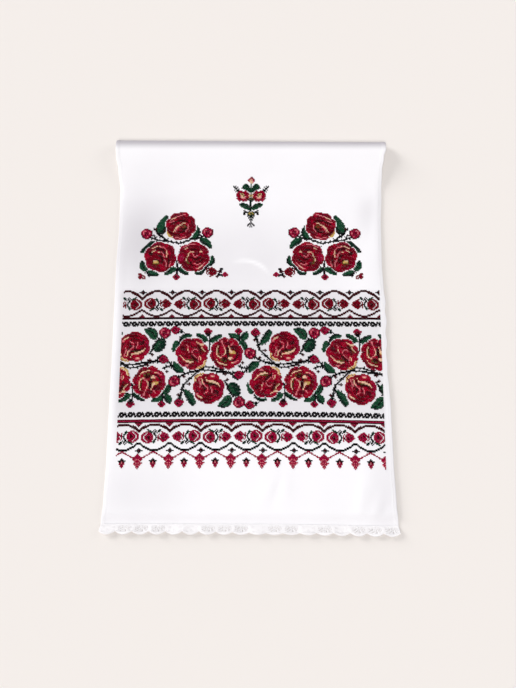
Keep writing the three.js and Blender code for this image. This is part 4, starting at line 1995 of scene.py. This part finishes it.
@dataclass(frozen=True)
class Embroidery:
    """The counted cross stitch over the upper face of the towel."""

    surface: TowelSurface
    chart: Chart
    square: float = 1.5  # mm, three yarns of the cloth
    middle_col: int = WorkedEnd.middle_col
    first_y: float = 53.0  # mm, where row 0 runs
    shift: float = 0.5  # mm to the right
    strand: float = 1.18  # mm, the width of a leg
    stand: float = 0.36  # mm, how high a leg stands
    lifts: tuple[float, float] = (0.02, 0.14)  # mm, the leg below and the leg that crosses over it
    half_width: float = 183.0  # mm, of the worked part
    last_row: int = 125  # where the sag is full
    left_sag: tuple[float, float] = (1.4, 0.6)  # mm at the left edge: at row 0, and what is added below
    right_sag: float = 2.4  # mm at the right edge, all of it added below
    astray: float = 0.06  # squares: the needle is never quite in the middle of a hole

    def squares(self, crosses: Sequence[tuple[int, int]]) -> tuple[np.ndarray, np.ndarray]:
        """Where squares of the chart lie on the towel.

        Args:
            crosses: each square's column and row.

        Returns:
            Their places across and along the towel, in mm: the rows sag a little towards both edges.
        """
        col, row = np.array(crosses, dtype=float).T
        x = self.square * (col - self.middle_col) + self.shift
        down = np.clip(row / self.last_row, 0.0, 1.0)
        sag = np.where(x < 0, self.left_sag[0] + self.left_sag[1] * down, self.right_sag * down)
        y = self.first_y - self.square * row - (x / self.half_width) ** 2 * sag
        astray = self.astray * self.square
        return x + astray * np.sin(7.3 * col + 3.1 * row), y + astray * np.sin(4.7 * row - 5.9 * col)

    def build(self) -> list[bpy.types.Object]:
        """Works every thread of the chart.

        Returns:
            One piece for each thread, in the scene.
        """
        # A leg runs nearly from corner to corner of its square
        across = math.sqrt(2) * self.square * 0.98
        unit = stitch_unit("cross_unit", [(angle, across, self.strand, self.stand, lift)
                                          for angle, lift in zip((45.0, -45.0), self.lifts)])
        tree = stitch_tree()
        pieces = []
        for seed, thread in enumerate(Thread):
            crosses = sorted(square for square, used in self.chart.crosses.items() if used is thread)
            x, y = self.squares(crosses)
            z, normals = self.surface.top(x, y)
            points = StitchPoints(np.stack((x, y, z), axis=-1), normals, np.zeros(len(x)))
            pieces.append(points.spread(f"cross_stitch_{thread.label}", tree, {
                "Unit": unit, "Smallest": 0.95, "Largest": 1.06, "Seed": seed,
                "Material": StrandedCotton(thread).material()}))
        bpy.data.objects.remove(unit)
        return pieces


@dataclass(frozen=True)
class HemStitching:
    """The run of sewing stitches that holds each long hem, over the front layer."""

    surface: TowelSurface
    inside: float = 4.3  # mm from the edge
    pitch: float = 3.4  # mm
    length: float = 2.6  # mm
    from_hem: float = 3.0  # mm
    from_fold: float = 14.0  # mm, the run ends on the roll
    thread: tuple[float, float, float] = (0.42, 0.28, 0.12)  # mm, a stitch's width, height and lift

    def build(self, finish: LaceCotton) -> bpy.types.Object:
        """Sews both hems.

        Args:
            finish: the sewing thread's finish.

        Returns:
            The stitches as one piece, in the scene.
        """
        start = self.surface.hem_y(np.array(1.0)) + self.from_hem
        y = np.arange(start, self.surface.fold_end - self.from_fold, self.pitch)
        x = np.concatenate((self.surface.left(y) + self.inside, self.surface.right(y) - self.inside))
        y = np.concatenate((y, y))
        # Each stitch lies along its edge
        ahead = np.where(x < 0, self.surface.left(y + 1), self.surface.right(y + 1))
        behind = np.where(x < 0, self.surface.left(y - 1), self.surface.right(y - 1))
        turns = np.arctan2(2.0, ahead - behind)
        z, normals = self.surface.top(x, y)
        unit = stitch_unit("hem_stitch_unit", ((0.0, self.length, *self.thread),))
        points = StitchPoints(np.stack((x, y, z), axis=-1), normals, turns)
        sewn = points.spread("hem_stitching", stitch_tree(), {
            "Unit": unit, "Smallest": 0.96, "Largest": 1.04, "Seed": 40, "Material": finish.material()})
        bpy.data.objects.remove(unit)
        return sewn


@dataclass(frozen=True)
class Studio:
    """The plain pale floor, the soft light and the camera over the towel."""

    floor_colour: str = "#EBE6E1"
    floor_size: float = 6.0  # m
    sky_colour: str = "#F6F7FF"
    sky_strength: float = 0.27
    target: tuple[float, float, float] = (0.0114, -0.026, 0.003)  # m
    distance: float = 1.123  # m
    elevation: float = 75.0  # degrees
    roll: float = 0.17  # degrees
    lens: float = 41.9  # mm

    def lay_floor(self) -> None:
        """Lays the floor, which isn't part of the towel."""
        half = 0.5 * self.floor_size
        corners = np.array(((-half, -half, 0.0), (half, -half, 0.0), (half, half, 0.0), (-half, half, 0.0)))
        material, tree, shader = new_material("painted_board_matt")
        # Matt paint: it takes the towel's soft shadow without a gleam
        feed(tree, shader, {
            "Base Color": linear(self.floor_colour), "Roughness": 0.95, "Specular IOR Level": 0.1})
        place(mesh_object("floor", corners, ((0, 1, 2, 3),)), material)

    def light(self) -> None:
        """Sets the even sky and the soft lamps."""
        world = bpy.data.worlds.new("studio")
        bpy.context.scene.world = world
        world.use_nodes = True
        feed(world.node_tree, world.node_tree.nodes["Background"],
             {"Color": linear(self.sky_colour), "Strength": self.sky_strength})
        self.lamp("key", azimuth=-6.0, elevation=55.0, spread=34.0, strength=2.15, colour="#FFFCFA")
        self.lamp("low", azimuth=237.0, elevation=18.0, spread=26.0, strength=2.4, colour="#FFFFFF")
        self.lamp("right", azimuth=110.0, elevation=20.0, spread=24.0, strength=0.5, colour="#FFFFFF")

    def lamp(self, name: str, azimuth: float, elevation: float, spread: float, strength: float,
             colour: str) -> None:
        """Hangs one distant soft lamp, which lights the whole floor evenly.

        Args:
            name: its name.
            azimuth: where it hangs, in degrees to the right from the front of the towel.
            elevation: its height over the horizon.
            spread: how wide it looks from the towel, in degrees.
            strength: its light on a face turned straight to it.
            colour: its colour in sRGB hex.
        """
        data = bpy.data.lights.new(name, "SUN")
        data.angle = math.radians(spread)
        data.energy = strength
        data.color = linear(colour)[:3]
        turn, up = math.radians(azimuth), math.radians(elevation)
        towards = Vector((math.sin(turn) * math.cos(up), -math.cos(turn) * math.cos(up), math.sin(up)))
        lamp = bpy.data.objects.new(name, data)
        lamp.rotation_euler = towards.to_track_quat("Z", "Y").to_euler()
        bpy.context.scene.collection.objects.link(lamp)

    def point_camera(self) -> None:
        """Hangs the camera nearly overhead, as the photo was taken."""
        data = bpy.data.cameras.new("camera")
        data.lens = self.lens
        camera = bpy.data.objects.new("camera", data)
        up = math.radians(self.elevation)
        offset = Vector((0.0, -math.cos(up), math.sin(up))) * self.distance
        camera.location = Vector(self.target) + offset
        turned = (-offset).to_track_quat("-Z", "Y").to_euler()
        turned.rotate_axis("Z", math.radians(self.roll))
        camera.rotation_euler = turned
        bpy.context.scene.collection.objects.link(camera)
        bpy.context.scene.camera = camera

    def build(self) -> None:
        """Sets up the whole studio, with plain display colours for a near-white cloth."""
        self.lay_floor()
        self.light()
        self.point_camera()
        bpy.context.scene.view_settings.view_transform = "Standard"


def report(pieces: Iterable[bpy.types.Object]) -> None:
    """Logs how many triangles each piece has."""
    for piece in pieces:
        triangles = sum(len(face.vertices) - 2 for face in piece.data.polygons)
        log.info("%s: %d triangles", piece.name, triangles)


def fit(pieces: Mapping[bpy.types.Object, str]) -> None:
    """Attaches pieces to the frame's body.

    Args:
        pieces: each piece, and its material slot in the record, which is not used.
    """
    for piece, slot in pieces.items():
        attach(piece, BODY)


def main() -> None:
    """Builds the towel and its studio."""
    logging.basicConfig(level=logging.INFO, format="%(name)s: %(message)s")
    surface = TowelSurface()
    cloth = TowelCloth(surface).build(BleachedCotton())
    ground, cords = LaceEdging(surface).build(LaceCotton())
    sewing = HemStitching(surface).build(LaceCotton("cotton_sewing_thread"))
    threads = Embroidery(surface, WorkedEnd().chart()).build()
    slots = {cloth: "towel_cloth", ground: "lace", cords: "lace", sewing: "towel_cloth"}
    slots.update({piece: thread.slot for piece, thread in zip(threads, Thread)})
    fit(slots)
    report(slots)
    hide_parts("towel_cloth")
    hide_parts("lace_edging")
    Studio().build()


if __name__ == "__main__":
    main()
